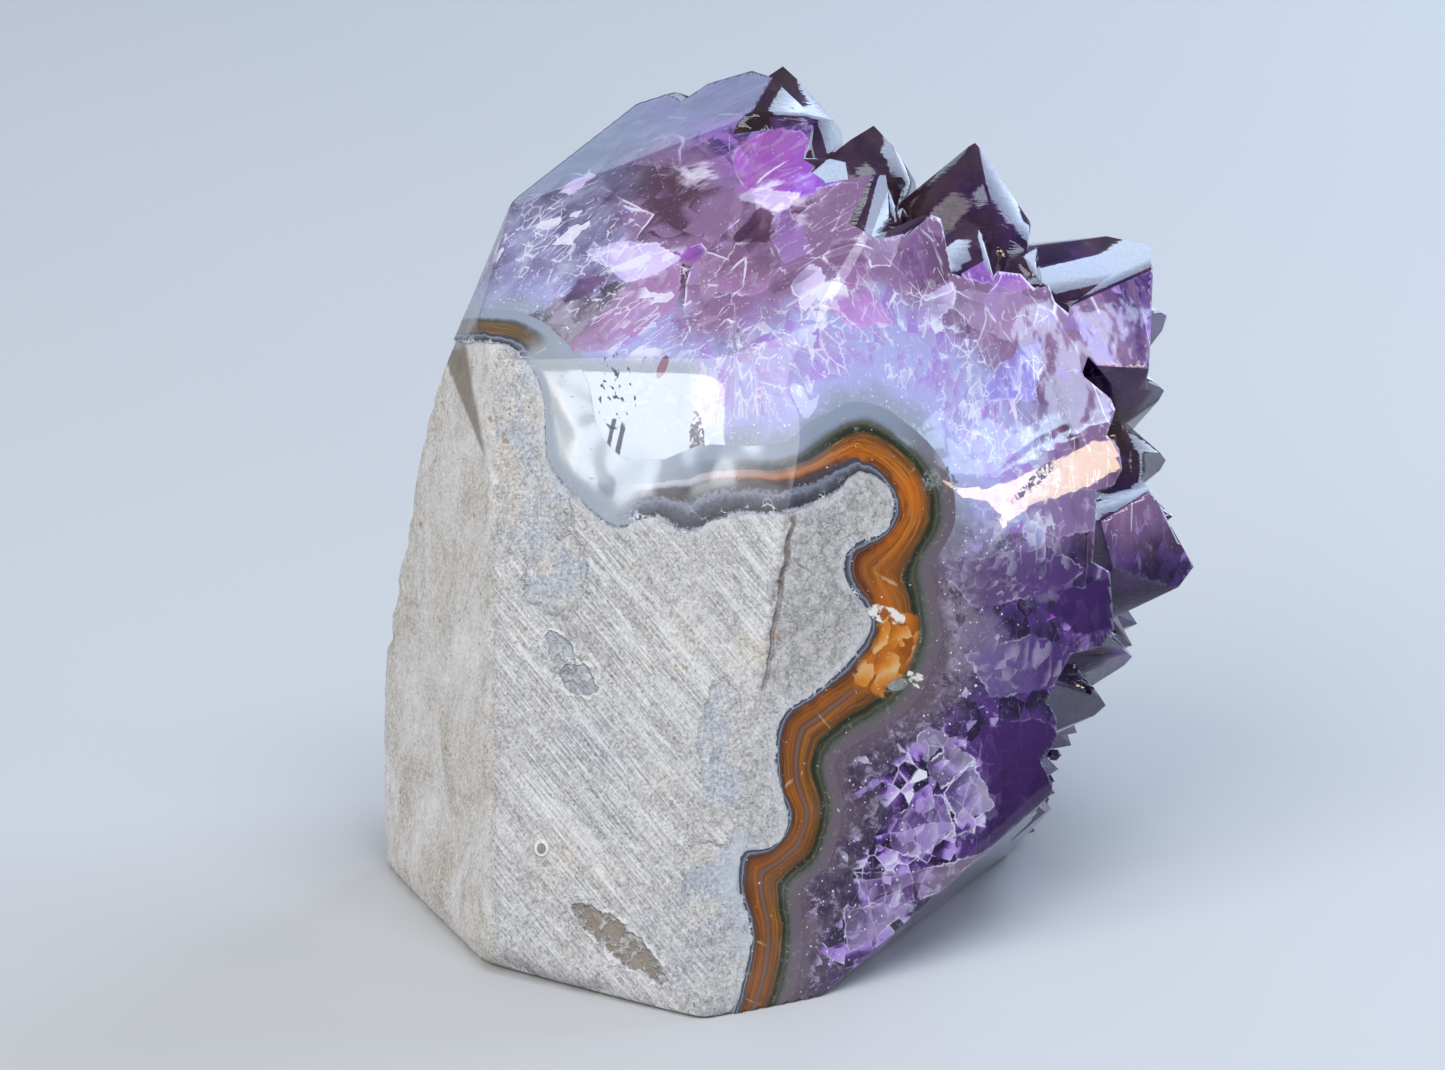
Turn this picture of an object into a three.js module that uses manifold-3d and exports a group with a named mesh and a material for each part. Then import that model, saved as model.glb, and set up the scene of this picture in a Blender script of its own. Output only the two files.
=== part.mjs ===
import * as THREE from 'three';
import { ConvexGeometry } from 'three/addons/geometries/ConvexGeometry.js';
import { mergeVertices } from 'three/addons/utils/BufferGeometryUtils.js';
import Module from 'manifold-3d';

// A ground piece of an amethyst geode's wall, standing on its flat base.
// Millimetres and degrees. The front bottom corner is the working origin until the end,
// +X is the side the crystals face, +Y runs to the back and +Z is up.

const wasm = await Module();
wasm.setup();

// Driving dimensions
const layerDip = 18; // the layers of rock, agate and quartz sink towards the back
const jointGap = 0.3; // left between one mineral and the next
const stoneWidth = 160; // raw block, before any face is ground
const stoneHeight = 160;
const stoneDepth = 78;
const curveSteps = 64; // stretches of a layer's edge
const depthSteps = 11;
const layerReach = 110; // length of the layers, front to back
const layerFront = 20; // of it, ahead of the front corner
const layerBelow = 40; // of the layers, under the base
const evenDepth = 30; // the layers keep the front's outline as far back as this
const swayReach = 1.6; // then they wander by this much
const swayPitch = 31;

// Ground faces: the way each one looks, and how far it lies from the working origin
const groundFaces = [
  { name: 'front left', azimuth: -117.7, rise: 20.5, reach: 0 },
  { name: 'front right', azimuth: -63.2, rise: 11.7, reach: 0 },
  { name: 'upper right', azimuth: -52.3, rise: 23.7, reach: 18.6 },
  { name: 'lower right', azimuth: -50.7, rise: 13.8, reach: 11.1 },
  { name: 'upper left', azimuth: -123.2, rise: 50.3, reach: 38.4 },
  { name: 'left', azimuth: -156.3, rise: 9.7, reach: 17.2 },
  { name: 'lower left', azimuth: -166, rise: 3.4, reach: 26.2 },
  { name: 'heel left', azimuth: -157, rise: -22, reach: 15.8 },
  { name: 'heel front', azimuth: -124, rise: -38, reach: 0 },
  { name: 'left corner', azimuth: 178, rise: 23.8, reach: 56.1 },
  { name: 'rim left', azimuth: -174.3, rise: 24.4, reach: 48.9 },
  { name: 'rim top', azimuth: -160.3, rise: 66.1, reach: 74.6 },
  { name: 'under right', azimuth: -28.1, rise: -40.7, reach: 6.8 },
  { name: 'back', azimuth: 87, rise: -3, reach: 75 },
  { name: 'back left', azimuth: 139, rise: 9, reach: 70.5 },
  { name: 'back heel', azimuth: 139, rise: -12, reach: 60.8 },
  { name: 'back right', azimuth: 47, rise: -24, reach: 68 },
  { name: 'back top', azimuth: 104, rise: 52, reach: 118.5 },
];

// Edges of the layers in the cut plane: across, and up along the dip
const rockEdge = [
  [2.5, -3], [4.8, 4], [5.8, 10.4], [4.4, 15.7], [5, 19.5], [8.1, 20.1], [10.2, 23.3], [8.8, 27.7],
  [9.2, 34.7], [12.9, 37.6], [17.4, 41.5], [19.7, 46.1], [16.8, 51], [17.4, 54.6], [21.4, 56.6],
  [22.3, 60.3], [19, 63.2], [15, 60.4], [9.2, 58.4], [4, 58.3], [-1.4, 56.3], [-5.3, 58], [-10, 56.8],
  [-14.7, 60.5], [-18.1, 64.8], [-18.7, 72.5], [-22, 77.9], [-29.3, 79.5], [-38.6, 80.6], [-62, 83],
];
const agateEdge = [
  [7, -4], [10.4, 3.9], [11.1, 10.2], [11, 15.2], [14.1, 18.1], [15.8, 23.9], [15, 29.4], [17.6, 32.2],
  [23.9, 36.4], [27.3, 43.2], [26.8, 49], [26.4, 52.7], [28.9, 57.5], [28, 63.6], [23.8, 68.2],
  [18.7, 70.7], [13.8, 68.8], [9.8, 65.9], [4.6, 65.6], [0, 65.6], [-4.7, 64], [-9.4, 64.4],
  [-12.7, 68.3], [-13.9, 73.6], [-16.8, 78.6], [-21.5, 81.8], [-28.8, 82.6], [-38.8, 84.4], [-62, 87],
];
const quartzEdge = [
  [38, 6], [40.2, 17.5], [41.9, 29.4], [44.4, 36.5], [48.4, 44], [49.7, 53], [50.2, 63.8], [49.4, 72.2],
  [46.8, 80], [40.5, 86.5], [30.6, 89.6], [21, 93.8], [11.8, 100.5], [3, 108.5], [-7.5, 117], [-30, 132],
];

// Crystals of the free face
const crystalSeed = 29;
const crystalSpacing = 8.6;
const crystalWidth = [10.5, 14]; // across the flats
const druseSink = 3; // of the crust that the crystals stand on, under its ground edge
const crystalRise = [1.5, 5.5]; // of a point above that edge
const crystalLean = 17; // at most, off the surface's own direction
const tipSlope = 1.27; // height of a point over half its width, from quartz's 38 degree faces
const crystalDepth = 16; // how far a crystal's foot lies below its point
const rowPitch = 0.87; // distance between two rows, as a share of the spacing
const scatter = 0.2; // of a place in a row, as a share of the spacing
const smallShare = 0.35; // of the places hold a low crystal with a small one beside it
const smallRise = 0.6; // its height, as a share of the others'
const smallWidth = [4.5, 7];
const unevenShare = 0.4; // of the crystals have unequal faces
const unevenness = [0.8, 2];
const clearShare = 0.62; // of a named crystal's width, kept free of others round its point

// The crystals that make the outline: where the point is, which way it looks, its width,
// its turn about its own axis and how unequal its faces are. The first one's point is ground off.
const namedCrystals = [
  { tip: [2.5, 70, 101], azimuth: 110, rise: 78, width: 17, turn: 20, clear: 13, depth: 24 },
  { tip: [10, 73, 95.5], azimuth: 95, rise: 76, width: 13, turn: 10, uneven: 1.6 },
  { tip: [21, 67, 89.5], azimuth: 30, rise: 78, width: 12, turn: 35, uneven: 2 },
  { tip: [33, 59.5, 89.2], azimuth: 40, rise: 80, width: 14, turn: 24, uneven: 0.5 },
  { tip: [54.5, 61, 76], azimuth: 20, rise: 42, width: 21, turn: 5, uneven: 3 },
  { tip: [56.5, 58, 68], azimuth: 5, rise: 14, width: 12, turn: 40, uneven: 1 },
  { tip: [56, 53, 60], azimuth: -5, rise: 8, width: 10, turn: 12, uneven: 0.8 },
  { tip: [56.2, 50.5, 52], azimuth: 5, rise: 0, width: 10, turn: 33, uneven: 0.8 },
  { tip: [60.1, 45.5, 39.6], azimuth: -8, rise: -14, width: 16, turn: 18, uneven: 1.6 },
  { tip: [52, 41.4, 30], azimuth: -5, rise: -8, width: 11, turn: 50, uneven: 0.8 },
  { tip: [48.7, 38, 25], azimuth: -12, rise: -12, width: 11, turn: 20, uneven: 1 },
];

const radians = THREE.MathUtils.degToRad;
const dipSin = Math.sin(radians(layerDip));
const dipCos = Math.cos(radians(layerDip));

function makeRandom(seed) {
  let state = seed;
  return (low, high) => {
    state = (state * 16807) % 2147483647;
    return low + (high - low) * (state / 2147483647);
  };
}

function direction(azimuth, rise) {
  const flat = Math.cos(radians(rise));
  return new THREE.Vector3(
    flat * Math.cos(radians(azimuth)),
    flat * Math.sin(radians(azimuth)),
    Math.sin(radians(rise)),
  );
}

// Across, up along the dip and in along the dip, as a place in the stone
function place(across, up, deep) {
  return new THREE.Vector3(across, deep * dipCos + up * dipSin, up * dipCos - deep * dipSin);
}

function toSolid(geometry) {
  const bare = geometry.clone();
  bare.deleteAttribute('normal');
  bare.deleteAttribute('uv');
  const merged = mergeVertices(bare, 1e-4);
  return new wasm.Manifold(new wasm.Mesh({
    numProp: 3,
    vertProperties: new Float32Array(merged.attributes.position.array),
    triVerts: new Uint32Array(merged.index.array),
  }));
}

function toMesh(solid, name, material) {
  const made = solid.getMesh();
  const geometry = new THREE.BufferGeometry();
  geometry.setAttribute('position', new THREE.BufferAttribute(made.vertProperties, 3));
  geometry.setIndex(new THREE.BufferAttribute(made.triVerts, 1));
  geometry.computeVertexNormals();
  const mesh = new THREE.Mesh(geometry, material);
  mesh.name = name;
  return mesh;
}

// One closed body: pockets shut in between crystals are filled, and loose chips are dropped
function onePiece(solid) {
  return solid.decompose().reduce((most, next) => (next.volume() > most.volume() ? next : most));
}

// The stone's outside without its crystals: a block with every ground face cut on it
function groundBlock() {
  const block = new THREE.BoxGeometry(stoneWidth, stoneDepth * 2, stoneHeight);
  block.translate(0, stoneDepth / 2, stoneHeight / 2);
  let solid = toSolid(block);
  for (const face of groundFaces) {
    const waste = new THREE.BoxGeometry(2 * stoneWidth, 2 * stoneWidth, stoneWidth);
    waste.translate(0, 0, stoneWidth / 2 + face.reach);
    const turn = new THREE.Quaternion();
    turn.setFromUnitVectors(new THREE.Vector3(0, 0, 1), direction(face.azimuth, face.rise));
    waste.applyQuaternion(turn);
    solid = solid.subtract(toSolid(waste));
  }
  return solid;
}

// Sampled edge of a layer, moved outwards by some distance
function edgePoints(edge, outwards) {
  const curve = new THREE.SplineCurve(edge.map(([across, up]) => new THREE.Vector2(across, up)));
  const points = [];
  for (let i = 0; i <= curveSteps; i += 1) {
    const along = curve.getTangentAt(i / curveSteps);
    const point = curve.getPointAt(i / curveSteps);
    points.push(new THREE.Vector2(point.x + along.y * outwards, point.y - along.x * outwards));
  }
  return points;
}

// How far a layer has wandered from the front's outline
function sway(across, up, deep) {
  const grown = THREE.MathUtils.smoothstep(deep, evenDepth, evenDepth + swayPitch);
  const turns = (2 * Math.PI) / swayPitch;
  return {
    across: grown * swayReach * Math.sin(turns * (0.7 * up + 0.5 * deep)),
    up: grown * swayReach * Math.cos(turns * (0.8 * across + 0.4 * deep)),
  };
}

// Everything on the rock's side of a layer's edge, run back through the stone
function layerSolid(edge, outwards) {
  const points = edgePoints(edge, outwards);
  const low = points[0];
  const far = points[points.length - 1];
  const outline = new THREE.Shape([
    ...points,
    new THREE.Vector2(far.x, low.y - layerBelow),
    new THREE.Vector2(low.x, low.y - layerBelow),
  ]);
  const geometry = new THREE.ExtrudeGeometry(outline, {
    depth: layerReach,
    steps: depthSteps,
    bevelEnabled: false,
  });
  const position = geometry.attributes.position;
  for (let i = 0; i < position.count; i += 1) {
    const across = position.getX(i);
    const up = position.getY(i);
    const deep = layerReach - layerFront - position.getZ(i);
    const moved = sway(across, up, deep);
    const point = place(across + moved.across, up + moved.up, deep);
    position.setXYZ(i, point.x, point.y, point.z);
  }
  return toSolid(geometry);
}

// A six-sided quartz point. Three faces of the tip are larger where it is uneven.
function crystalSolid({ tip, axis, width, turn, uneven = 0, depth = crystalDepth }) {
  const half = width / 2;
  const corner = half / Math.cos(Math.PI / 6);
  const drop = half * tipSlope;
  const back = uneven / tipSlope;
  const points = [new THREE.Vector3(0, 0, 0)];
  for (let i = 0; i < 6; i += 1) {
    const angle = (i * Math.PI) / 3;
    const side = new THREE.Vector3(Math.cos(angle), Math.sin(angle), 0);
    const edge = new THREE.Vector3(Math.cos(angle + Math.PI / 6), Math.sin(angle + Math.PI / 6), 0);
    points.push(edge.clone().multiplyScalar(corner).setZ(-drop));
    points.push(edge.clone().multiplyScalar(corner).setZ(-depth));
    if (i % 2 === 1 && uneven > 0) {
      const cross = new THREE.Vector3(-side.y, side.x, 0);
      const reach = (half / 2 - (half - back)) / Math.sin(Math.PI / 3);
      points.push(side.clone().multiplyScalar(2 * back).setZ(-back * tipSlope));
      for (const way of [-1, 1]) {
        const low = side.clone().multiplyScalar(half).addScaledVector(cross, way * reach);
        points.push(low.setZ(uneven - drop));
      }
    }
  }
  const geometry = new ConvexGeometry(points);
  geometry.rotateZ(radians(turn));
  geometry.applyQuaternion(new THREE.Quaternion().setFromUnitVectors(new THREE.Vector3(0, 0, 1), axis));
  geometry.translate(tip.x, tip.y, tip.z);
  return toSolid(geometry);
}

function outlineCrystals() {
  return namedCrystals.map((crystal) => ({
    ...crystal,
    tip: new THREE.Vector3(...crystal.tip),
    axis: direction(crystal.azimuth, crystal.rise),
    clear: crystal.clear ?? clearShare * crystal.width,
  }));
}

// Rows of crystals over the druse, left out where a named crystal stands
function fieldCrystals(taken) {
  const random = makeRandom(crystalSeed);
  const curve = new THREE.SplineCurve(quartzEdge.map(([across, up]) => new THREE.Vector2(across, up)));
  const length = curve.getLength();
  const columns = Math.floor(length / crystalSpacing);
  const rowStep = crystalSpacing * rowPitch;
  const rows = Math.ceil(stoneDepth / rowStep);
  const made = [];
  for (let row = 0; row < rows; row += 1) {
    for (let column = 0; column < columns; column += 1) {
      const shift = row % 2 === 0 ? 0 : 0.5;
      const at = THREE.MathUtils.clamp((column + shift + random(-scatter, scatter)) / columns, 0, 1);
      const deep = (row + random(-scatter, scatter)) * rowStep;
      const point = curve.getPointAt(at);
      const along = curve.getTangentAt(at);
      const outside = new THREE.Vector2(along.y, -along.x);
      const small = random(0, 1) < smallShare;
      const rise = random(...crystalRise) * (small ? smallRise : 1);
      const tip = place(point.x + outside.x * rise, point.y + outside.y * rise, deep);
      const axis = place(outside.x, outside.y, 0).normalize();
      const lean = direction(random(0, 360), random(-90, 90));
      axis.addScaledVector(lean, Math.tan(radians(random(0.3, 1) * crystalLean))).normalize();
      const width = random(...crystalWidth);
      const turn = random(0, 60);
      const uneven = random(0, 1) < unevenShare ? random(...unevenness) : 0;
      const free = taken.every((other) => other.tip.distanceTo(tip) >= other.clear);
      if (free) {
        made.push({ tip, axis, width, turn, uneven });
      }
      if (free && small) {
        const beside = tip.clone().addScaledVector(lean, width / 2).addScaledVector(axis, -1);
        made.push({ tip: beside, axis, width: random(...smallWidth), turn: turn + 30 });
      }
    }
  }
  return made;
}

const finish = {
  rock: new THREE.MeshStandardMaterial({ color: 0x9b948b, roughness: 0.8, metalness: 0 }),
  agate: new THREE.MeshStandardMaterial({ color: 0xa4571a, roughness: 0.15, metalness: 0 }),
  quartz: new THREE.MeshStandardMaterial({ color: 0x6a4aa0, roughness: 0.06, metalness: 0 }),
};

const block = groundBlock();
const rockSide = layerSolid(rockEdge, 0);
const agateSide = layerSolid(agateEdge, 0);
const crystals = outlineCrystals();
const druse = [...crystals, ...fieldCrystals(crystals)].map(crystalSolid);

const rock = block.intersect(rockSide);
const agate = block.intersect(agateSide).subtract(layerSolid(rockEdge, jointGap));
const quartz = wasm.Manifold.union([layerSolid(quartzEdge, -druseSink), ...druse])
  .intersect(block)
  .subtract(layerSolid(agateEdge, jointGap));

const stone = new THREE.Group();
stone.add(toMesh(onePiece(rock), 'basalt_matrix', finish.rock));
stone.add(toMesh(onePiece(agate), 'agate_band', finish.agate));
stone.add(toMesh(onePiece(quartz), 'amethyst_crystals', finish.quartz));

// The shared frame has its origin at the middle of the footprint, on the ground
const bounds = new THREE.Box3().setFromObject(stone);
const middle = bounds.getCenter(new THREE.Vector3());
stone.position.set(-middle.x, -middle.y, -bounds.min.z);

const cluster = new THREE.Group();
cluster.add(stone);

export default cluster;
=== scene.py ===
import math

import bmesh
import bpy
import numpy as np
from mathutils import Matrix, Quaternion, Vector, kdtree, noise


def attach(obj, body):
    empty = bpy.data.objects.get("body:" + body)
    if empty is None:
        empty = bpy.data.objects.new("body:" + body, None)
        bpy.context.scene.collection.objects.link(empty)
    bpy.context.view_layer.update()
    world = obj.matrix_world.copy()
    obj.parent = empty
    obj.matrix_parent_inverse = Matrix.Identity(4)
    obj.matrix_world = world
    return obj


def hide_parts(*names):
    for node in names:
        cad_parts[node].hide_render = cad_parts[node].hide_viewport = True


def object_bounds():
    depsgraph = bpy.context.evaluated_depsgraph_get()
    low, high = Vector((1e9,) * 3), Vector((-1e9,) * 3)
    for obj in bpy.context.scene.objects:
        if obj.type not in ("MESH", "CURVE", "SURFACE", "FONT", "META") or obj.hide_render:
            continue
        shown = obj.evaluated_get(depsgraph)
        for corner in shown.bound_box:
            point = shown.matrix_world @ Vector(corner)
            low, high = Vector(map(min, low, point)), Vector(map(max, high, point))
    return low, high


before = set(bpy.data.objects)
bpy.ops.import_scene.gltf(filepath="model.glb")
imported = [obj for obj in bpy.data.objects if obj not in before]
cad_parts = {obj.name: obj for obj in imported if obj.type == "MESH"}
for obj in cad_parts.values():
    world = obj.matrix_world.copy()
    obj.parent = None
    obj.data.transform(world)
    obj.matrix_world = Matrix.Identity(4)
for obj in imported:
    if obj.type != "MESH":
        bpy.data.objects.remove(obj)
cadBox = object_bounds()
mm = 0.001
print("frame loaded, CAD box", [round(v, 4) for corner in cadBox for v in corner])

# The stone as it was ground. Lengths are in millimetres and angles in degrees.
stone = {
    "leftReach": 39.7,      # from the front bottom corner to the leftmost point
    "layerDip": 18.0,       # rock, agate and quartz sink towards the back
    "heart": (7, 42, 45),   # a point well inside, from the front bottom corner
    "cells": 150,           # of the skin, along a side
    "evenDepth": 30.0,      # the layers keep the front's outline this far back
    "swayReach": 1.6,
    "swayPitch": 31.0,
    "polishedEdge": 0.16,   # softness of an edge between two polished faces
    "groundEdge": 0.42,     # and between two saw-ground ones
    "quartzInset": 0.06,    # the quartz lies this far below the agate's face, mm
    "sharpAbove": 38.0,     # edges steeper than this are shaded sharp
    # polished edges that are rounder: two ends of each, across, up and deep, reach, softness
    "roundEdges": [
        ((12, 76, 0), (27, 93, 7), 7.0, 1.7), ((33, 56.5, 11), (53, 67.5, 26), 5.0, 0.3),
        ((33.3, 56.6, 11.1), (34.5, 52, 12), 3.5, 0.5),
    ],
}
# name: (the way the face looks, its rise, its distance from the front bottom corner)
groundFaces = {
    "frontLeft": (-117.7, 20.5, 0),
    "frontRight": (-63.2, 11.7, 0),
    "upperRight": (-52.3, 23.7, 18.6),
    "lowerRight": (-50.7, 13.8, 11.1),
    "upperLeft": (-123.2, 50.3, 38.4),
    "left": (-156.3, 9.7, 17.2),
    "lowerLeft": (-166, 3.4, 26.2),
    "heelLeft": (-157, -22, 15.8),
    "heelFront": (-124, -38, 0),
    "leftCorner": (178, 23.8, 56.1),
    "rimLeft": (-174.3, 24.4, 48.9),
    "rimTop": (-160.3, 66.1, 74.6),
    "underRight": (-28.1, -40.7, 6.8),
    "back": (87, -3, 75),
    "backLeft": (139, 9, 70.5),
    "backHeel": (139, -12, 60.8),
    "backRight": (47, -24, 68),
    "backTop": (104, 52, 118.5),
    "base": (0, -90, 0),
    # the crystals stay well inside these last three
    "rightOfAll": (0, 0, 66),
    "aboveAll": (0, 90, 103),
    "rightShoulder": (10, 42, 112),
}
# Edges of the layers in the cut plane: across, and up along the dip
rockEdge = [
    (2.5, -3), (4.8, 4), (5.8, 10.4), (4.4, 15.7), (5, 19.5), (8.1, 20.1), (10.2, 23.3), (8.8, 27.7),
    (9.2, 34.7), (12.9, 37.6), (17.4, 41.5), (19.7, 46.1), (16.8, 51), (17.4, 54.6), (21.4, 56.6),
    (22.3, 60.3), (19, 63.2), (15, 60.4), (9.2, 58.4), (4, 58.3), (-1.4, 56.3), (-5.3, 58), (-10, 56.8),
    (-14.7, 60.5), (-18.1, 64.8), (-18.7, 72.5), (-22, 77.9), (-29.3, 79.5), (-38.6, 80.6), (-62, 83),
]
agateEdge = [
    (7, -4), (10.4, 3.9), (11.1, 10.2), (11, 15.2), (14.1, 18.1), (15.8, 23.9), (15, 29.4), (17.6, 32.2),
    (23.9, 36.4), (27.3, 43.2), (26.8, 49), (26.4, 52.7), (28.9, 57.5), (28, 63.6), (23.8, 68.2),
    (18.7, 70.7), (13.8, 68.8), (9.8, 65.9), (4.6, 65.6), (0, 65.6), (-4.7, 64), (-9.4, 64.4),
    (-12.7, 68.3), (-13.9, 73.6), (-16.8, 78.6), (-21.5, 81.8), (-28.8, 82.6), (-38.8, 84.4), (-62, 87),
]
frontCorner = np.array([cadBox[0][0] / mm + stone["leftReach"], cadBox[0][1] / mm, 0])
dipSin = math.sin(math.radians(stone["layerDip"]))
dipCos = math.cos(math.radians(stone["layerDip"]))


def direction(azimuth, rise):
    azimuth, rise = math.radians(azimuth), math.radians(rise)
    return np.array([
        math.cos(rise) * math.cos(azimuth), math.cos(rise) * math.sin(azimuth), math.sin(rise),
    ])


# A place in the stone, in metres, from its across, up and deep in the cut plane
def fromCut(across, up, deep):
    y = deep * dipCos + up * dipSin
    z = up * dipCos - deep * dipSin
    return (np.stack([across + 0 * y, y, z], -1) + frontCorner) * mm


def toCut(points):
    x, y, z = (points / mm - frontCorner).T
    return x, y * dipSin + z * dipCos, y * dipCos - z * dipSin


def smoothRise(value, low, high):
    share = np.clip((value - low) / (high - low), 0, 1)
    return share * share * (3 - 2 * share)


# How far the layers have wandered from the front's outline
def swayAt(across, up, deep):
    grown = smoothRise(deep, stone["evenDepth"], stone["evenDepth"] + stone["swayPitch"])
    turns = 2 * math.pi / stone["swayPitch"]
    return (
        grown * stone["swayReach"] * np.sin(turns * (0.7 * up + 0.5 * deep)),
        grown * stone["swayReach"] * np.cos(turns * (0.8 * across + 0.4 * deep)),
    )


# A smooth curve through the points, cut into equal steps, with its outward direction
def smoothCurve(points, count):
    p = np.array([points[0], *points, points[-1]], float)
    t = np.linspace(0, 1, 24, endpoint=False)[:, None]
    fine = []
    for a, b, c, d in zip(p, p[1:], p[2:], p[3:]):
        u, v = (c - a) / 2, (d - b) / 2
        fine.append((2 * b - 2 * c + u + v) * t**3 + (3 * c - 3 * b - 2 * u - v) * t**2 + u * t + b)
    fine = np.concatenate([*fine, p[-1:]])
    length = np.concatenate([[0], np.cumsum(np.linalg.norm(np.diff(fine, axis=0), axis=1))])
    at = np.linspace(0, length[-1], count)
    even = np.stack([np.interp(at, length, fine[:, 0]), np.interp(at, length, fine[:, 1])], -1)
    along = np.gradient(even, axis=0)
    along /= np.linalg.norm(along, axis=1)[:, None]
    return even, np.stack([along[:, 1], -along[:, 0]], -1), at


def noiseAt(points, pitch, seed):
    shift = Vector((seed * 17.3, seed * 5.1, seed * 9.7))
    return np.array([noise.noise(Vector(p) / pitch + shift) for p in points])


def makeObject(name, verts, faces):
    mesh = bpy.data.meshes.new(name)
    mesh.from_pydata([tuple(v) for v in verts], [], [tuple(f) for f in faces])
    mesh.update()
    made = bpy.data.objects.new(name, mesh)
    scene.collection.objects.link(made)
    return made


# Evaluates an object's modifiers into its mesh and removes them
def settle(piece):
    graph = bpy.context.evaluated_depsgraph_get()
    mesh = bpy.data.meshes.new_from_object(piece.evaluated_get(graph), depsgraph=graph)
    piece.modifiers.clear()
    piece.data = mesh
    mesh.name = piece.name


def combine(piece, other, operation):
    cut = piece.modifiers.new("cut", "BOOLEAN")
    cut.solver = "MANIFOLD"
    cut.operation = operation
    cut.material_mode = "TRANSFER"
    cut.object = other
    settle(piece)


def copyOf(piece, name):
    made = bpy.data.objects.new(name, piece.data.copy())
    scene.collection.objects.link(made)
    return made


def discard(*things):
    for thing in things:
        bpy.data.objects.remove(thing)


scene = bpy.context.scene


# Directions from the heart of the stone, evenly spread, and the cells between them
def skinDirections(cells):
    steps = np.tan(np.linspace(-math.pi / 4, math.pi / 4, cells + 1))
    a, b = np.meshgrid(steps, steps, indexing="ij")
    sides = []
    for axis in range(3):
        for sign in (1, -1):
            side = np.zeros((cells + 1, cells + 1, 3))
            side[..., axis] = sign
            side[..., (axis + 1) % 3] = a * sign
            side[..., (axis + 2) % 3] = b
            sides.append(side.reshape(-1, 3))
    points = np.concatenate(sides)
    i, j = np.meshgrid(np.arange(cells), np.arange(cells), indexing="ij")
    first = (i * (cells + 1) + j).ravel()
    square = np.stack([first, first + cells + 1, first + cells + 2, first + 1], -1)
    quads = np.concatenate([square + side * (cells + 1) ** 2 for side in range(6)])
    unique, where = np.unique(np.round(points, 6), axis=0, return_inverse=True)
    return unique / np.linalg.norm(unique, axis=1)[:, None], where.ravel()[quads]


# How soft the edges between polished faces are at each point
def polishedSoftness(points):
    across, up, deep = toCut((points + frontCorner) * mm)
    spots = np.stack([across, up, deep], -1)
    soft = np.full(len(points), stone["polishedEdge"])
    for first, last, reach, most in stone["roundEdges"]:
        first, last = np.array(first, float), np.array(last, float)
        run = last - first
        share = np.clip((spots - first) @ run / (run @ run), 0, 1)
        gap = np.linalg.norm(spots - first - share[:, None] * run, axis=1)
        soft = soft + (most - soft) * np.exp(-(gap / reach) ** 2)
    return soft


# The ground stone without its crystals. Also returns how near each point is to an edge.
def groundSkin(softness):
    away, quads = skinDirections(stone["cells"])
    heart = np.array(stone["heart"], float)
    normals = np.array([direction(azimuth, rise) for azimuth, rise, reach in groundFaces.values()])
    reach = np.array([face[2] for face in groundFaces.values()], float)
    room = reach - normals @ heart
    slope = away @ normals.T
    distance = np.where(slope > 1e-6, room / np.maximum(slope, 1e-6), 1e6).min(axis=1)
    soft = softness(heart + away * distance[:, None])[:, None]
    for turn in range(10):
        over = (slope * distance[:, None] - room) / soft
        most = over.max(axis=1, keepdims=True)
        weight = np.exp(over - most)
        total = weight.sum(axis=1)
        level = soft[:, 0] * (most[:, 0] + np.log(total))
        distance -= level / ((weight * slope).sum(axis=1) / total)
    over = np.sort(slope * distance[:, None] - room, axis=1)
    return heart + away * distance[:, None], away, quads, over[:, -1] - over[:, -2]


# Everything on the rock's side of a layer's edge, run back through the stone
def layerCutter(name, edge, outwards, count=420, rough=0.0, pitch=2.0):
    even, outside, at = smoothCurve(edge, count)
    rows = np.arange(-22.0, 92.0, 3.0)
    ring = []
    for deep in rows:
        push = np.full(count, float(outwards))
        if rough:
            places = np.stack([even[:, 0], even[:, 1], np.full(count, deep * 0.35)], -1)
            for share in (1, 0.6, 0.4):
                push += rough * share * noiseAt(places, pitch * share ** 1.7, 3 + share)
        line = even + outside * push[:, None]
        corners = np.array([[line[-1, 0], -60.0], [line[0, 0], -60.0]])
        line = np.concatenate([line, corners])
        wander = swayAt(line[:, 0], line[:, 1], deep)
        ring.append(fromCut(line[:, 0] + wander[0], line[:, 1] + wander[1], deep))
    size = count + 2
    faces = []
    for row in range(len(rows) - 1):
        for i in range(size):
            a, b = row * size + i, row * size + (i + 1) % size
            faces.append((a, a + size, b + size, b))
    faces.append(tuple(range(size)))
    faces.append(tuple(reversed(range((len(rows) - 1) * size, len(rows) * size))))
    made = makeObject(name, np.concatenate(ring), faces)
    shape = bmesh.new()
    shape.from_mesh(made.data)
    bmesh.ops.recalc_face_normals(shape, faces=shape.faces)
    bmesh.ops.triangulate(shape, faces=shape.faces[-2:])
    shape.to_mesh(made.data)
    shape.free()
    return made


curveSteps = 1200
rockEven, rockOutside, rockAt = smoothCurve(rockEdge, curveSteps)
agateEven, agateOutside, agateAt = smoothCurve(agateEdge, curveSteps)


# Distance from a layer's edge, positive on the crystals' side, and the place along it
def fromEdge(across, up, even, outside, at):
    tree = kdtree.KDTree(len(even))
    for i, (x, y) in enumerate(even):
        tree.insert((x, y, 0), i)
    tree.balance()
    nearest = np.array([tree.find((x, y, 0))[1] for x, y in zip(across, up)])
    gap = np.stack([across, up], -1) - even[nearest]
    side = np.sign((gap * outside[nearest]).sum(axis=1))
    return np.linalg.norm(gap, axis=1) * side, at[nearest]


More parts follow.
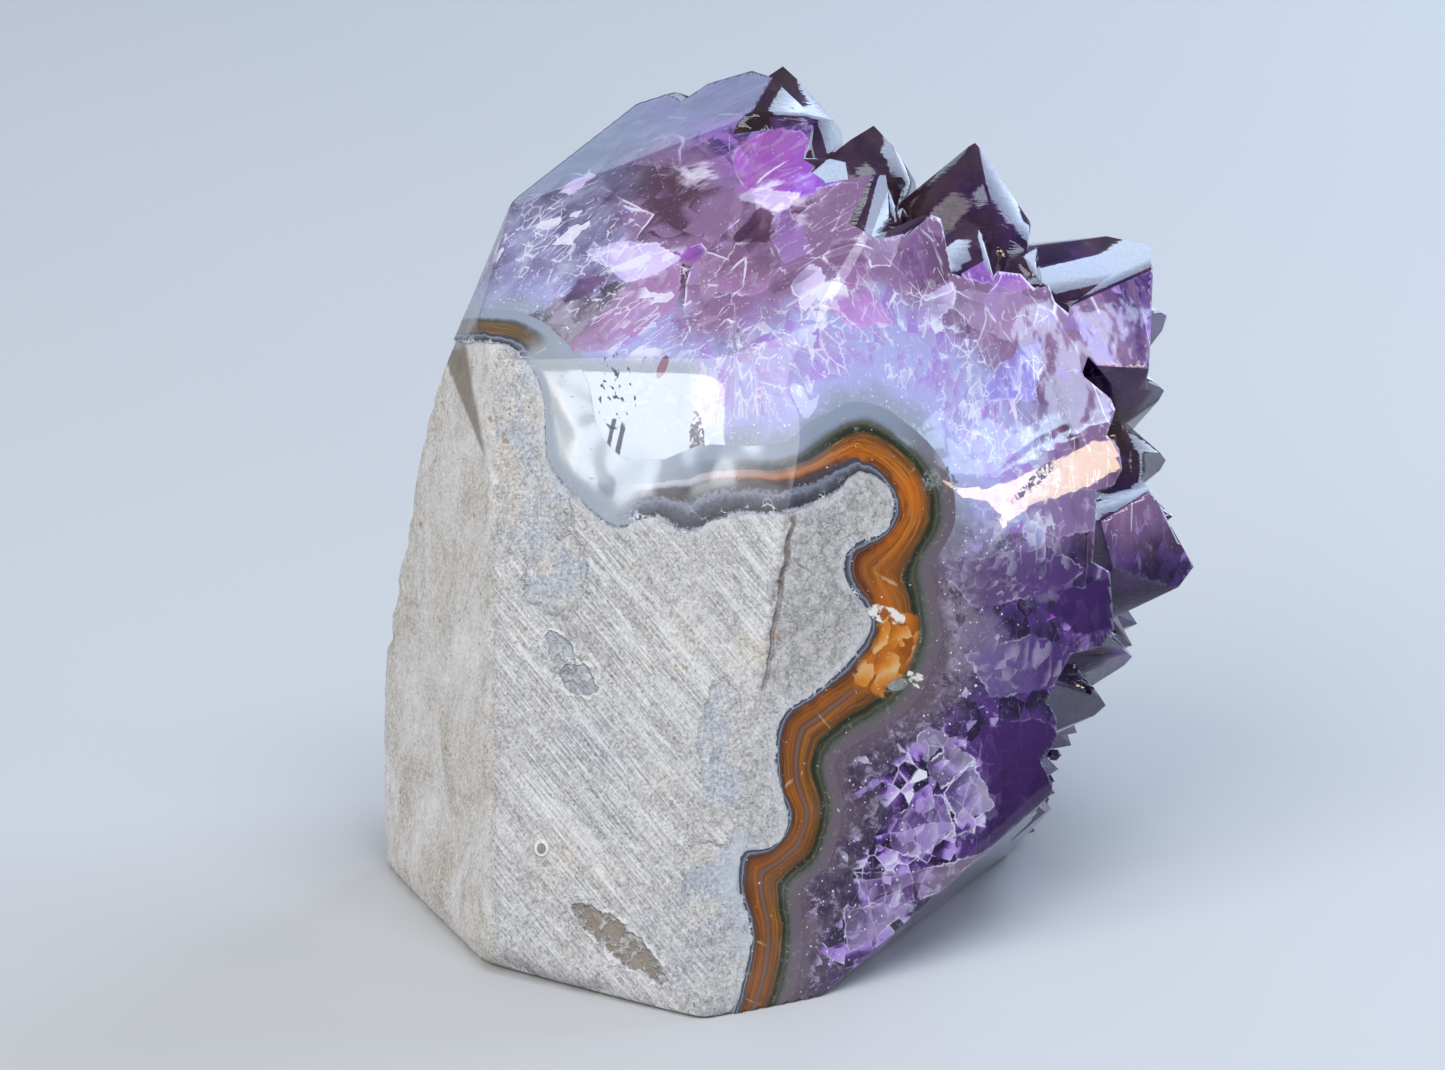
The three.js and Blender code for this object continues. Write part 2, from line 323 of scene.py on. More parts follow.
# Writes where every point lies among the layers: distance from the rock, distance from the
# agate's outside, and place along it, in millimetres
def writeStrata(piece):
    mesh = piece.data
    points = np.empty(len(mesh.vertices) * 3)
    mesh.vertices.foreach_get("co", points)
    across, up, deep = toCut(points.reshape(-1, 3))
    wander = swayAt(across, up, deep)
    across, up = across - wander[0], up - wander[1]
    fromRock = fromEdge(across, up, rockEven, rockOutside, rockAt)
    fromAgate = fromEdge(across, up, agateEven, agateOutside, agateAt)
    values = np.stack([fromRock[0], fromAgate[0], fromAgate[1]], -1)
    layer = mesh.attributes.new("strata", "FLOAT_VECTOR", "POINT")
    layer.data.foreach_set("vector", values.astype(np.float32).ravel())


# Wraps a shader socket, so that sums on sockets read as sums
class Wire:
    def __init__(self, tree, socket):
        self.tree = tree
        self.socket = socket

    # another output of the same node
    def beside(self, name):
        return Wire(self.tree, self.socket.node.outputs[name])

    def sum(self, operation, *others):
        node = self.tree.nodes.new("ShaderNodeMath")
        node.operation = operation
        for slot, value in zip(node.inputs, (self, *others)):
            plug(self.tree, slot, value)
        return Wire(self.tree, node.outputs[0])

    def __add__(self, other):
        return self.sum("ADD", other)

    def __sub__(self, other):
        return self.sum("SUBTRACT", other)

    def __mul__(self, other):
        return self.sum("MULTIPLY", other)

    def __truediv__(self, other):
        return self.sum("DIVIDE", other)

    def __radd__(self, other):
        return self.sum("ADD", other)

    def __rmul__(self, other):
        return self.sum("MULTIPLY", other)

    def __rsub__(self, other):
        return (self * -1).sum("ADD", other)

    def __abs__(self):
        return self.sum("ABSOLUTE")


def plug(tree, slot, value):
    if isinstance(value, Wire):
        tree.links.new(value.socket, slot)
    else:
        slot.default_value = value


# A material's node tree with one way to add any node
class Recipe:
    def __init__(self, name):
        self.material = bpy.data.materials.new(name)
        self.material.use_nodes = True
        self.tree = self.material.node_tree
        self.tree.nodes.clear()

    def add(self, kind, settings=None, sockets=None, out=0):
        node = self.tree.nodes.new(kind)
        for key, value in (settings or {}).items():
            if key == "stops":
                self.setStops(node.color_ramp, value)
            else:
                setattr(node, key, value)
        for key, value in (sockets or {}).items():
            plug(self.tree, node.inputs[key], value)
        return Wire(self.tree, node.outputs[out])

    def setStops(self, ramp, stops):
        while len(ramp.elements) < len(stops):
            ramp.elements.new(1.0)
        for element, (place, colour) in zip(ramp.elements, stops):
            element.position = place
            element.color = (*colour, 1) if len(colour) == 3 else colour

    def noise(self, vector, scale, detail=3.0, rough=0.5, warp=0.0, out=0):
        return self.add("ShaderNodeTexNoise", {"noise_dimensions": "3D"}, {
            "Vector": vector, "Scale": scale, "Detail": detail, "Roughness": rough, "Distortion": warp,
        }, out)

    def mix(self, share, first, second, blend="MIX"):
        node = self.tree.nodes.new("ShaderNodeMix")
        node.data_type = "RGBA"
        node.blend_type = blend
        plug(self.tree, node.inputs[0], share)
        for slot, value in ((node.inputs[6], first), (node.inputs[7], second)):
            plug(self.tree, slot, value if isinstance(value, Wire) else (*value, 1))
        return Wire(self.tree, node.outputs[2])

    def ramp(self, value, stops):
        node = self.tree.nodes.new("ShaderNodeValToRGB")
        self.setStops(node.color_ramp, stops)
        plug(self.tree, node.inputs[0], value)
        return Wire(self.tree, node.outputs[0])

    def fit(self, value, low, high, first=0.0, last=1.0, smooth=True):
        return self.add(
            "ShaderNodeMapRange", {"interpolation_type": "SMOOTHSTEP" if smooth else "LINEAR"},
            {"Value": value, "From Min": low, "From Max": high, "To Min": first, "To Max": last},
        )

    def dot(self, vector, along):
        node = self.tree.nodes.new("ShaderNodeVectorMath")
        node.operation = "DOT_PRODUCT"
        plug(self.tree, node.inputs[0], vector)
        node.inputs[1].default_value = along
        return Wire(self.tree, node.outputs["Value"])

    def join(self, x, y, z):
        return self.add("ShaderNodeCombineXYZ", None, {0: x, 1: y, 2: z})

    def part(self, vector, which):
        return self.add("ShaderNodeSeparateXYZ", None, {0: vector}, which)

    def steps(self, value, stops):
        return self.part(self.ramp(value, stops), 0)

    def vector(self, operation, first, second, out="Vector"):
        return self.add(
            "ShaderNodeVectorMath", {"operation": operation}, {0: first, 1: second}).beside(out)

    def cracks(self, vector, scale=1.0):
        return self.add(
            "ShaderNodeTexVoronoi", {"feature": "DISTANCE_TO_EDGE"}, {"Vector": vector, "Scale": scale})

    def cells(self, vector, scale=1.0):
        return self.add("ShaderNodeTexVoronoi", {"feature": "F1"}, {"Vector": vector, "Scale": scale})

    def bump(self, height, strength, reach):
        return self.add("ShaderNodeBump", None, {"Strength": strength, "Distance": reach, "Height": height})

    # Cells: two tones for each one, and light that falls off across it
    def shards(self, vector, scale=1.0):
        cell = self.cells(vector, scale)
        tone = cell.beside("Color")
        lean = self.vector("SUBTRACT", tone, (0.5, 0.5, 0.5))
        scaled = self.vector("MULTIPLY", vector, (scale, scale, scale))
        place = self.vector("MULTIPLY", cell.beside("Position"), (scale, scale, scale))
        light = self.vector("DOT_PRODUCT", self.vector("SUBTRACT", scaled, place), lean, "Value")
        return self.part(tone, 0), self.part(tone, 1), light

    # The place, shaken by noise
    def warped(self, spot, scale, reach):
        shaken = self.vector("SUBTRACT", self.noise(spot, scale, 3, 0.6, out=1), (0.5, 0.5, 0.5))
        return self.vector("ADD", spot, self.vector("MULTIPLY", shaken, (reach, reach, reach)))

    # A soft-edged patch round a place in the cut plane, near the front, its outline broken by noise
    def patch(self, place, size, ragged, turn=0.0):
        x, y = self.across - place[0], self.up - place[1]
        c, s = math.cos(math.radians(turn)), math.sin(math.radians(turn))
        u, v = (x * c + y * s) / size[0], (y * c - x * s) / size[1]
        return self.fit(u * u + v * v + ragged, 1.1, 0.75) * self.front

    # The same, with its raggedness given as a share of the finish's own
    def mark(self, place, size, rough, turn=0.0):
        return self.patch(place, size, self.ragged * rough, turn)

    # How far inside a shape with straight sides a place is. The place is across, up and one.
    def inside(self, flat, corners):
        depth = None
        for (x0, y0), (x1, y1) in zip(corners, corners[1:] + corners[:1]):
            length = math.hypot(x1 - x0, y1 - y0)
            inward = ((y0 - y1) / length, (x1 - x0) / length)
            side = self.dot(flat, (*inward, -(x0 * inward[0] + y0 * inward[1])))
            depth = side if depth is None else depth.sum("MINIMUM", side)
        return depth

    def finish(self, surface, volume=None):
        end = self.tree.nodes.new("ShaderNodeOutputMaterial")
        plug(self.tree, end.inputs["Surface"], surface)
        if volume:
            plug(self.tree, end.inputs["Volume"], volume)
        return self.material


def grey(value):
    return (value, value, value)


# The three coordinates that every finish is laid out in, in millimetres: distance from the rock,
# distance from the agate's outside, and place along it. Then across, up and deep in the cut plane.
def layers(made):
    strata = made.add("ShaderNodeAttribute", {"attribute_name": "strata"}, None, 1)
    parts = made.tree.nodes.new("ShaderNodeSeparateXYZ")
    plug(made.tree, parts.inputs[0], strata)
    return [Wire(made.tree, socket) for socket in parts.outputs]


frontEnds = (40, 36)    # what is drawn on the front only fades out between these depths, mm


def cutPlace(made):
    spot = made.add("ShaderNodeTexCoord", out=3)
    rows = ((1, 0, 0), (0, dipSin, dipCos), (0, dipCos, -dipSin))
    found = []
    for row in rows:
        start = float(np.dot(row, frontCorner))
        found.append(made.dot(spot, [v / mm for v in row]) - start)
    made.across, made.up, deep = found
    made.front = made.fit(deep, *frontEnds)
    return [spot, *found]


# How far a place lies on one ground face's side of its ridge with another one
def beyond(made, spot, face, other):
    apart = direction(*groundFaces[face][:2]) - direction(*groundFaces[other][:2])
    start = float(np.dot(apart, frontCorner)) + groundFaces[face][2] - groundFaces[other][2]
    return made.dot(spot, apart / mm) - start


basaltLook = {
    "cool": (0.40, 0.42, 0.46),
    "plain": (0.51, 0.50, 0.50),
    "warm": (0.59, 0.535, 0.475),
    "dust": (0.86, 0.85, 0.86),
    "blue": (0.40, 0.44, 0.52),
    "stain": (0.20, 0.165, 0.13),
    "shade": (0.22, 0.21, 0.21),
    "rust": (0.38, 0.17, 0.07),
    "sawPitch": 0.30,         # mm from one saw mark to the next
    "sawLength": 7.0,
    "sawSlope": -37.6,        # of the marks on the front left face, degrees
    "roughness": 0.74,
    # smoother facets, where the saw marks stop: place, size, turn
    "bare": [
        ((-22, 66), (7, 14), 12), ((2.6, 31), (2.6, 8.5), 0), ((2, 15.5), (3.6, 6.5), 25),
        ((-17, 51), (4, 5), 0),
    ],
    # crusts that lie sunk in it: place, size, turn, colour
    "crusts": [
        ((-16.4, 42.4), (2.7, 1.5), -52, (0.40, 0.43, 0.47)),
        ((-14.2, 39.2), (2.1, 1.5), -30, (0.37, 0.40, 0.44)),
        ((-9.6, 9), (6.2, 1.7), -38, (0.24, 0.19, 0.135)),
    ],
    # place, size, how ragged
    "ring": ((-18.6, 19.4), (0.95, 1.1), 0.06),
    "hole": ((-18.6, 19.3), (0.5, 0.62), 0.06),
    "lowEdge": ((4.2, 15.5), (2.4, 7), 0.6),
    "leftTones": [
        (0.34, (0.52, 0.485, 0.42)), (0.5, (0.68, 0.645, 0.61)), (0.6, (0.75, 0.725, 0.71)),
        (0.72, (0.86, 0.85, 0.86)),
    ],
}


# Directions along and across the saw marks of a ground face
def sawAxes(face, slope):
    normal = direction(*groundFaces[face][:2])
    level = np.cross((0, 0, 1), normal)
    level /= np.linalg.norm(level)
    rise = np.cross(normal, level)
    turn = math.radians(slope)
    along = level * math.cos(turn) + rise * math.sin(turn)
    return along, np.cross(normal, along)


def basaltFinish():
    made = Recipe("sawnBasalt")
    fit, mix, ramp, join = made.fit, made.mix, made.ramp, made.join
    look = basaltLook
    spot, across, up, deep = cutPlace(made)
    fromRock = layers(made)[0]
    broad = made.noise(spot, 50, 4, 0.6)
    patchy = made.noise(spot, 170, 4, 0.65, 0.4)
    fine = made.noise(spot, 2600, 3, 0.75)
    mid = made.noise(spot, 800, 4, 0.7)
    made.ragged = ragged = (made.noise(spot, 260, 5, 0.7) - 0.5) * 6
    # which of the front faces
    ridge = beyond(made, spot, "frontLeft", "frontRight")
    onLeft = fit(beyond(made, spot, "left", "frontLeft"), -0.5, 0.5)
    onFront = fit(ridge, -0.3, 0.6) * (1 - onLeft)
    colour = ramp(broad * 0.5 + patchy * 0.5, [
        (0.36, look["cool"]), (0.46, look["plain"]), (0.56, look["plain"]), (0.66, look["warm"]),
    ])
    streak = made.noise(join(across * 0.14, up * 0.085, deep * 0.11), 1.0, 5, 0.7, 0.8)
    colour = mix(onLeft * 0.8, colour, ramp(streak, look["leftTones"]))
    bare = 0.0
    for place, size, turn in look["bare"]:
        bare = bare + made.mark(place, size, 0.4, turn)
    bare = fit(bare, 0, 1, smooth=False) * onFront
    colour = mix(bare * 0.5, colour, mix(fit(patchy, 0.42, 0.58), look["blue"], look["warm"]))
    along, over = sawAxes("frontLeft", look["sawSlope"])
    side, run = made.dot(spot, over / mm), made.dot(spot, along / mm)
    saw = made.noise(join(side / look["sawPitch"], run / look["sawLength"], 0.0), 1.0, 2, 0.6)
    wide = made.noise(join(side / 1.9, run / 26, 3.0), 1.0, 3, 0.55)
    sawn = onFront * fit(made.noise(spot, 70, 3), 0.30, 0.56, 0.3, 1.0) * (1 - bare * 0.85)
    colour = mix(fit(wide, 0.48, 0.64) * sawn * 0.45, colour, look["dust"])
    colour = mix(fit(saw, 0.52, 0.66) * sawn * 0.65, colour, look["dust"])
    colour = mix(fit(saw, 0.46, 0.32) * sawn * 0.5, colour, (0.27, 0.26, 0.25))
    sawSide = made.noise(join(across * 0.5 + up * 0.4, up * 0.5 + deep * 1.9, deep * 0.4), 1.0, 3, 0.6)
    sideMarks = fit(sawSide, 0.55, 0.7) * (1 - onFront) * fit(patchy, 0.4, 0.6)
    colour = mix(sideMarks * 0.3, colour, look["dust"])
    salt = ramp(fine, [(0.3, grey(0.2)), (0.7, grey(0.82))])
    colour = mix(0.8, colour, salt, "OVERLAY")
    colour = mix(0.5, colour, ramp(mid, [(0.32, grey(0.3)), (0.68, grey(0.7))]), "OVERLAY")
    specks = fit(made.cells(spot, 1500.0) + made.noise(spot, 330, 2) * 0.5, 0.4, 0.28)
    colour = mix(specks * 0.7, colour, (0.07, 0.07, 0.075))
    rusty = fit(made.noise(spot, 520, 2, 0.5), 0.69, 0.75) * fit(broad, 0.42, 0.56)
    colour = mix(rusty * 0.7, colour, look["rust"])
    # the brown wedge at the top of the left face, one straight side and a point below
    wedgeLeft = across + 31.7 - (78.7 - up) * 0.447 + ragged * 0.06
    wedgeRight = across + 28.0 - (77.6 - up) * 0.21 + ragged * 0.10
    wedge = fit(wedgeLeft, -0.2, 0.3) * fit(wedgeRight, 0.3, -0.3) * fit(up, 64.5, 67)
    colour = mix(wedge * 0.8, colour, look["stain"])
    rims = 0.0
    sunk = 0.0
    for place, size, turn, tint in look["crusts"]:
        here = made.mark(place, size, 0.7, turn) * onFront
        wider = made.mark(place, (size[0] + 0.7, size[1] + 0.6), 0.7, turn) * onFront
        step = fit(made.noise(spot, 620, 3, 0.65), 0.42, 0.52)
        colour = mix(here * (0.35 + step * 0.45), colour, tint)
        colour = mix((wider - here) * step * 0.7, colour, look["dust"])
        sunk = sunk + here * (1 + step)
        rims = rims + (wider - here)
    ring = made.mark(*look["ring"]) * onFront
    hole = made.mark(*look["hole"]) * onFront
    colour = mix((ring - hole) * 0.8, colour, look["dust"])
    colour = mix(hole * 0.7, colour, (0.22, 0.21, 0.20))
    # a dark crack below the agate's arm, where the two front faces meet
    wander = (made.noise(spot, 260, 4, 0.6) - 0.5) * 3.2
    crackLine = abs(across - 7.4 - (up - 38) * 0.17 + wander * 0.6)
    crack = fit(crackLine, 0.42, 0.06) * fit(up, 36, 40) * fit(up, 59, 57)
    colour = mix(crack * fit(up, 44, 52, 0.45, 0.9), colour, (0.13, 0.065, 0.05))
    # painted shade on the front right face past the ridge, higher than about 38 mm up, with a net of dark
    # cracks in it
    past = fit(ridge, 0.2, -0.4) * fit(up, 36, 40)
    colour = mix(past * 0.35, colour, mix(fit(mid, 0.4, 0.6), look["shade"], look["plain"]))
    net = fit(made.cracks(made.warped(spot, 300, 0.004), 260.0), 0.03, 0.004)
    colour = mix(net * past * 0.5, colour, (0.10, 0.10, 0.11))
    # pale crackled rock beside the agate
    border = fit(fromRock + (mid - 0.5) * 2.2 + (fine - 0.5), -1.3, -0.3)
    colour = mix(border * 0.4, colour, (0.66, 0.68, 0.73))
    lowEdge = made.mark(*look["lowEdge"]) * fit(fromRock + ragged * 0.6, -3.6, -1)
    crackle = fit(made.cracks(made.warped(spot, 420, 0.0035), 620.0), 0.09, 0.01)
    crackle = crackle * fit(patchy, 0.44, 0.56)
    colour = mix(lowEdge * 0.55, colour, (0.56, 0.61, 0.70))
    colour = mix(lowEdge * crackle * 0.7, colour, (0.13, 0.14, 0.17))
    height = fine * 0.3 + mid * 0.7 + saw * sawn * 1.0 + wide * sawn * 1.2 - crack * 1.6 - sunk * 0.9
    height = height + rims * 0.5 + (ring - hole * 2) * 0.8 - bare * 0.4 + lowEdge * crackle * -0.6
    return made.finish(made.add("ShaderNodeBsdfPrincipled", None, {
        "Base Color": colour, "Roughness": look["roughness"], "Normal": made.bump(height, 0.9, 0.00028),
        "Specular IOR Level": 0.3,
    }))


agateLook = {
    "roughness": 0.06,
    "bandWave": 0.6,         # how far the bands wander, mm
    "length": 215.0,         # of the band from the foot to the back, mm
    # the rind's width and the orange's end, as shares of the band, at places along it in mm
    "rindEnds": [
        (0, 0.13), (42, 0.10), (80, 0.13), (94, 0.3), (101, 0.56), (112, 0.6), (127, 0.3), (140, 0.34),
    ],
    "orangeEnds": [
        (0, 0.70), (45, 0.66), (62, 0.68), (84, 0.64), (94, 0.62), (101, 0.72), (112, 0.7), (127, 0.62),
        (140, 0.74),
    ],
    # how orange the middle is, against pale chalcedony, which is in part a painted reflection where the
    # light at the left glares on the band
    "orangeShares": [
        (0, 1.0), (92, 1.0), (101, 0.75), (108, 0.3), (112, 0.04), (128, 0.04), (137, 0.75), (150, 0.9),
    ],
    # tones from the rock's side to the crystals' side of each band
    "rind": [
        (0.0, (0.42, 0.45, 0.52)), (0.12, (0.035, 0.035, 0.05)), (0.4, (0.10, 0.105, 0.14)),
        (0.62, (0.25, 0.27, 0.35)), (0.74, (0.06, 0.055, 0.07)), (1.0, (0.10, 0.075, 0.085)),
    ],
    "orange": [
        (0.0, (0.055, 0.014, 0.012)), (0.1, (0.15, 0.032, 0.010)), (0.24, (0.40, 0.105, 0.010)),
        (0.42, (0.50, 0.150, 0.012)), (0.58, (0.42, 0.130, 0.016)), (0.74, (0.25, 0.085, 0.018)),
        (0.88, (0.13, 0.062, 0.020)), (1.0, (0.06, 0.045, 0.022)),
    ],
    "pale": [
        (0.0, (0.12, 0.13, 0.18)), (0.3, (0.36, 0.40, 0.48)), (0.7, (0.52, 0.56, 0.64)),
        (1.0, (0.48, 0.52, 0.60)),
    ],
    "rim": [
        (0.0, (0.060, 0.038, 0.015)), (0.10, (0.016, 0.024, 0.017)), (0.24, (0.030, 0.042, 0.030)),
        (0.36, (0.105, 0.090, 0.050)), (0.46, (0.045, 0.055, 0.046)), (0.64, (0.110, 0.115, 0.105)),
        (0.82, (0.145, 0.125, 0.145)), (1.0, (0.155, 0.120, 0.155)),
    ],
    "shell": [
        (0.1, (0.34, 0.085, 0.006)), (0.4, (0.56, 0.16, 0.012)), (0.7, (0.72, 0.27, 0.03)),
        (1.0, (0.80, 0.50, 0.22)),
    ],
    "cracks": (0.80, 0.83, 0.92),
    "amber": (0.66, 0.26, 0.03),
    "maroon": (0.14, 0.035, 0.010),
    "glow": (0.70, 0.17, 0.01),
    # pale blue-grey, partly real chalcedony and partly a painted reflection of the light at the left
    "paleWithReflection": (0.34, 0.38, 0.45),
    "oldGold": [(0.07, 0.05, 0.03), (0.21, 0.145, 0.07)],
    "tear": (0.84, 0.80, 0.76),
    "hollowTones": [(0.09, 0.10, 0.10), (0.36, 0.38, 0.38)],
    # marks: place, size, how ragged, turn
    "knot": ((17.8, 53.4), (3.4, 1.9), 0.3, 10),
    "chipped": ((22.4, 42.4), (3.6, 6.0), 0.5, -42),
    "torn": [((21.4, 46.8), (2.7, 1.0), 0.5, -14), ((25.6, 39.0), (2.0, 0.7), 0.5, -30)],
    "hollow": ((23.0, 38.6), (1.35, 0.75), 0.25, 15),
    "rimHollow": ((27.0, 62.6), (1.7, 1.2), 1.2, 30),
}


def agateFinish():
    made = Recipe("bandedAgate")
    fit, mix, ramp, join = made.fit, made.mix, made.ramp, made.join
    look = agateLook
    spot, across, up, deep = cutPlace(made)
    fromRock, fromRim, along = layers(made)
    wave = (made.noise(spot, 300, 3, 0.6) - 0.5) * look["bandWave"] * 2
    jag = (made.noise(spot, 1500, 3, 0.7) - 0.5) * 0.5
    drift = made.noise(spot, 200, 4, 0.6)
    share = (fromRock + wave * 0.6) / (fromRock - fromRim + 0.01)

    def lengthwise(key):
        return made.steps(along / look["length"], [(p / look["length"], grey(v)) for p, v in look[key]])

    rindEnd, orangeEnd = lengthwise("rindEnds"), lengthwise("orangeEnds")
    orangeShare = lengthwise("orangeShares")
    inRind = share / rindEnd
    inOrange = (share - rindEnd) / (orangeEnd - rindEnd)
    inRim = (share - orangeEnd) / (1 - orangeEnd)
    made.ragged = ragged = (made.noise(spot, 420, 4, 0.7) - 0.5) * 5
    # rind: slate with pale crackled lines against the rock
    rind = ramp(inRind + jag, look["rind"])
    crackled = fit(made.cracks(made.warped(spot, 500, 0.003), 700.0), 0.08, 0.01)
    crackled = crackled * fit(made.noise(spot, 300, 3), 0.50, 0.60)
    rind = mix(crackled * fit(inRind, 0.75, 0.1), rind, look["cracks"])
    # orange: warm bands between dark maroon against the rind and brown lines under the rim
    warm = ramp(inOrange, look["orange"])
    lines = made.noise(join(inOrange * 13, along * 0.10, deep * 0.10), 1.0, 4, 0.75)
    warm = mix(fit(lines, 0.5, 0.64) * 0.6, warm, look["amber"])
    warm = mix(fit(lines, 0.48, 0.36) * 0.75, warm, look["maroon"])
    hair = made.noise(join(inOrange * 34, along * 0.16, deep * 0.16), 1.0, 2, 0.6)
    warm = mix(fit(hair, 0.56, 0.66) * fit(inOrange, 0.35, 0.7, 0.25, 0.8), warm, (0.10, 0.04, 0.015))
    warm = mix(fit(hair, 0.42, 0.34) * 0.35, warm, (0.62, 0.30, 0.10))
    glow = made.noise(spot, 150, 3, 0.6)
    warm = mix(fit(glow, 0.5, 0.72) * fit(inOrange, 1.0, 0.6) * 0.6, warm, look["glow"])
    # a wavy mauve double line low down, and a knot of it beside the notch
    doubled = abs(inOrange - 0.48 - wave * 0.12)
    lowPart = fit(along, 50, 38) + made.mark(*look["knot"]) * 0.8
    warm = mix(fit(doubled, 0.13, 0.10) * lowPart * 0.7, warm, (0.12, 0.070, 0.060))
    warm = mix(fit(doubled, 0.065, 0.035) * lowPart * 0.7, warm, (0.24, 0.165, 0.165))
    # pale chalcedony where the orange gives out, in part a painted reflection of the light at the left
    warm = mix(orangeShare, ramp(inOrange + jag * 0.4, look["pale"]), warm)
    # rim: nearly black green, then grey-green chalcedony fading out
    rim = ramp(inRim + jag * 0.3, look["rim"])
    rim = mix(fit(along, 74, 90) * fit(inRim, 0.30, 0.75), rim, (0.27, 0.32, 0.42))
    warm = mix(fit(along, 80, 48) * 0.45, warm, (0.13, 0.055, 0.020))
    warm = mix(fit(along, 124, 134) * 0.9, warm, mix(fit(hair, 0.42, 0.6), *look["oldGold"]))
    # the rim is pale there too, in part the same painted reflection
    rim = mix((1 - orangeShare) * 0.85, rim, (0.40, 0.45, 0.55))
    rim = mix(fit(made.noise(spot, 1300, 3, 0.7), 0.56, 0.72) * 0.45, rim, (0.30, 0.30, 0.25))
    colour = mix(fit(inRind, 0.95, 1.03), rind, warm)
    colour = mix(fit(inOrange, 0.97, 1.02), colour, rim)
    # pale blue-grey washed over the band here, partly pale chalcedony and partly a painted reflection of
    # the light at the left
    place = along + (drift - 0.5) * 8
    paleWithReflection = fit(place, 114, 117.5) * fit(place, 139, 135) * made.front
    colour = mix(paleWithReflection * fit(inRind, 0.06, 0.14) * 0.92, colour, look["paleWithReflection"])
    # a chipped, shell-like area, brighter and with pale edges
    chipped = made.mark(*look["chipped"]) * fit(inRim, 0.35, 0.1)
    shell = made.shards(made.warped(spot, 220, 0.004), 380.0)
    shellTone = ramp(shell[0] * 0.5 + shell[2] * 1.3 + 0.25, look["shell"])
    colour = mix(chipped * fit(inOrange, 0.02, 0.2) * 0.85, colour, shellTone)
    torn = made.mark(*look["torn"][0]) + made.mark(*look["torn"][1])
    colour = mix(fit(torn, 0, 1) * fit(made.noise(spot, 900, 3), 0.42, 0.55), colour, look["tear"])
    hollow = made.mark(*look["hollow"]) + made.mark(*look["rimHollow"]) * fit(jag, -0.06, 0.06)
    hollow = fit(hollow, 0, 1)
    colour = mix(hollow * 0.9, colour, mix(fit(ragged, -0.6, 0.9), *look["hollowTones"]))
    nicks = fit(made.noise(spot, 1900, 2, 0.5), 0.71, 0.77)
    colour = mix(nicks * 0.75, colour, (0.84, 0.80, 0.72))
    crosswise = made.cracks(join(along * 0.045 + wave * 0.02, fromRock * 0.01, deep * 0.03))
    crackLine = fit(crosswise, 0.004, 0.001) * fit(made.noise(spot, 260, 2), 0.45, 0.55)
    crackLine = crackLine * fit(inOrange, 0.0, 0.1) * fit(inOrange, 1.0, 0.9)
    colour = mix(crackLine * 0.5, colour, (0.70, 0.55, 0.36))
    height = made.noise(spot, 55, 2) * 8 - nicks * 0.6 + chipped * (shell[2] * 3.5 + shell[0]) - hollow * 2
    bump = made.bump(height, 0.4, 0.00012)
    dull = fit(inRind, 1.0, 0.4) * 0.2 + nicks * 0.3 + hollow * 0.5 + look["roughness"]
    return made.finish(made.add("ShaderNodeBsdfPrincipled", None, {
        "Base Color": colour, "Roughness": dull, "IOR": 1.54, "Normal": bump,
    }))


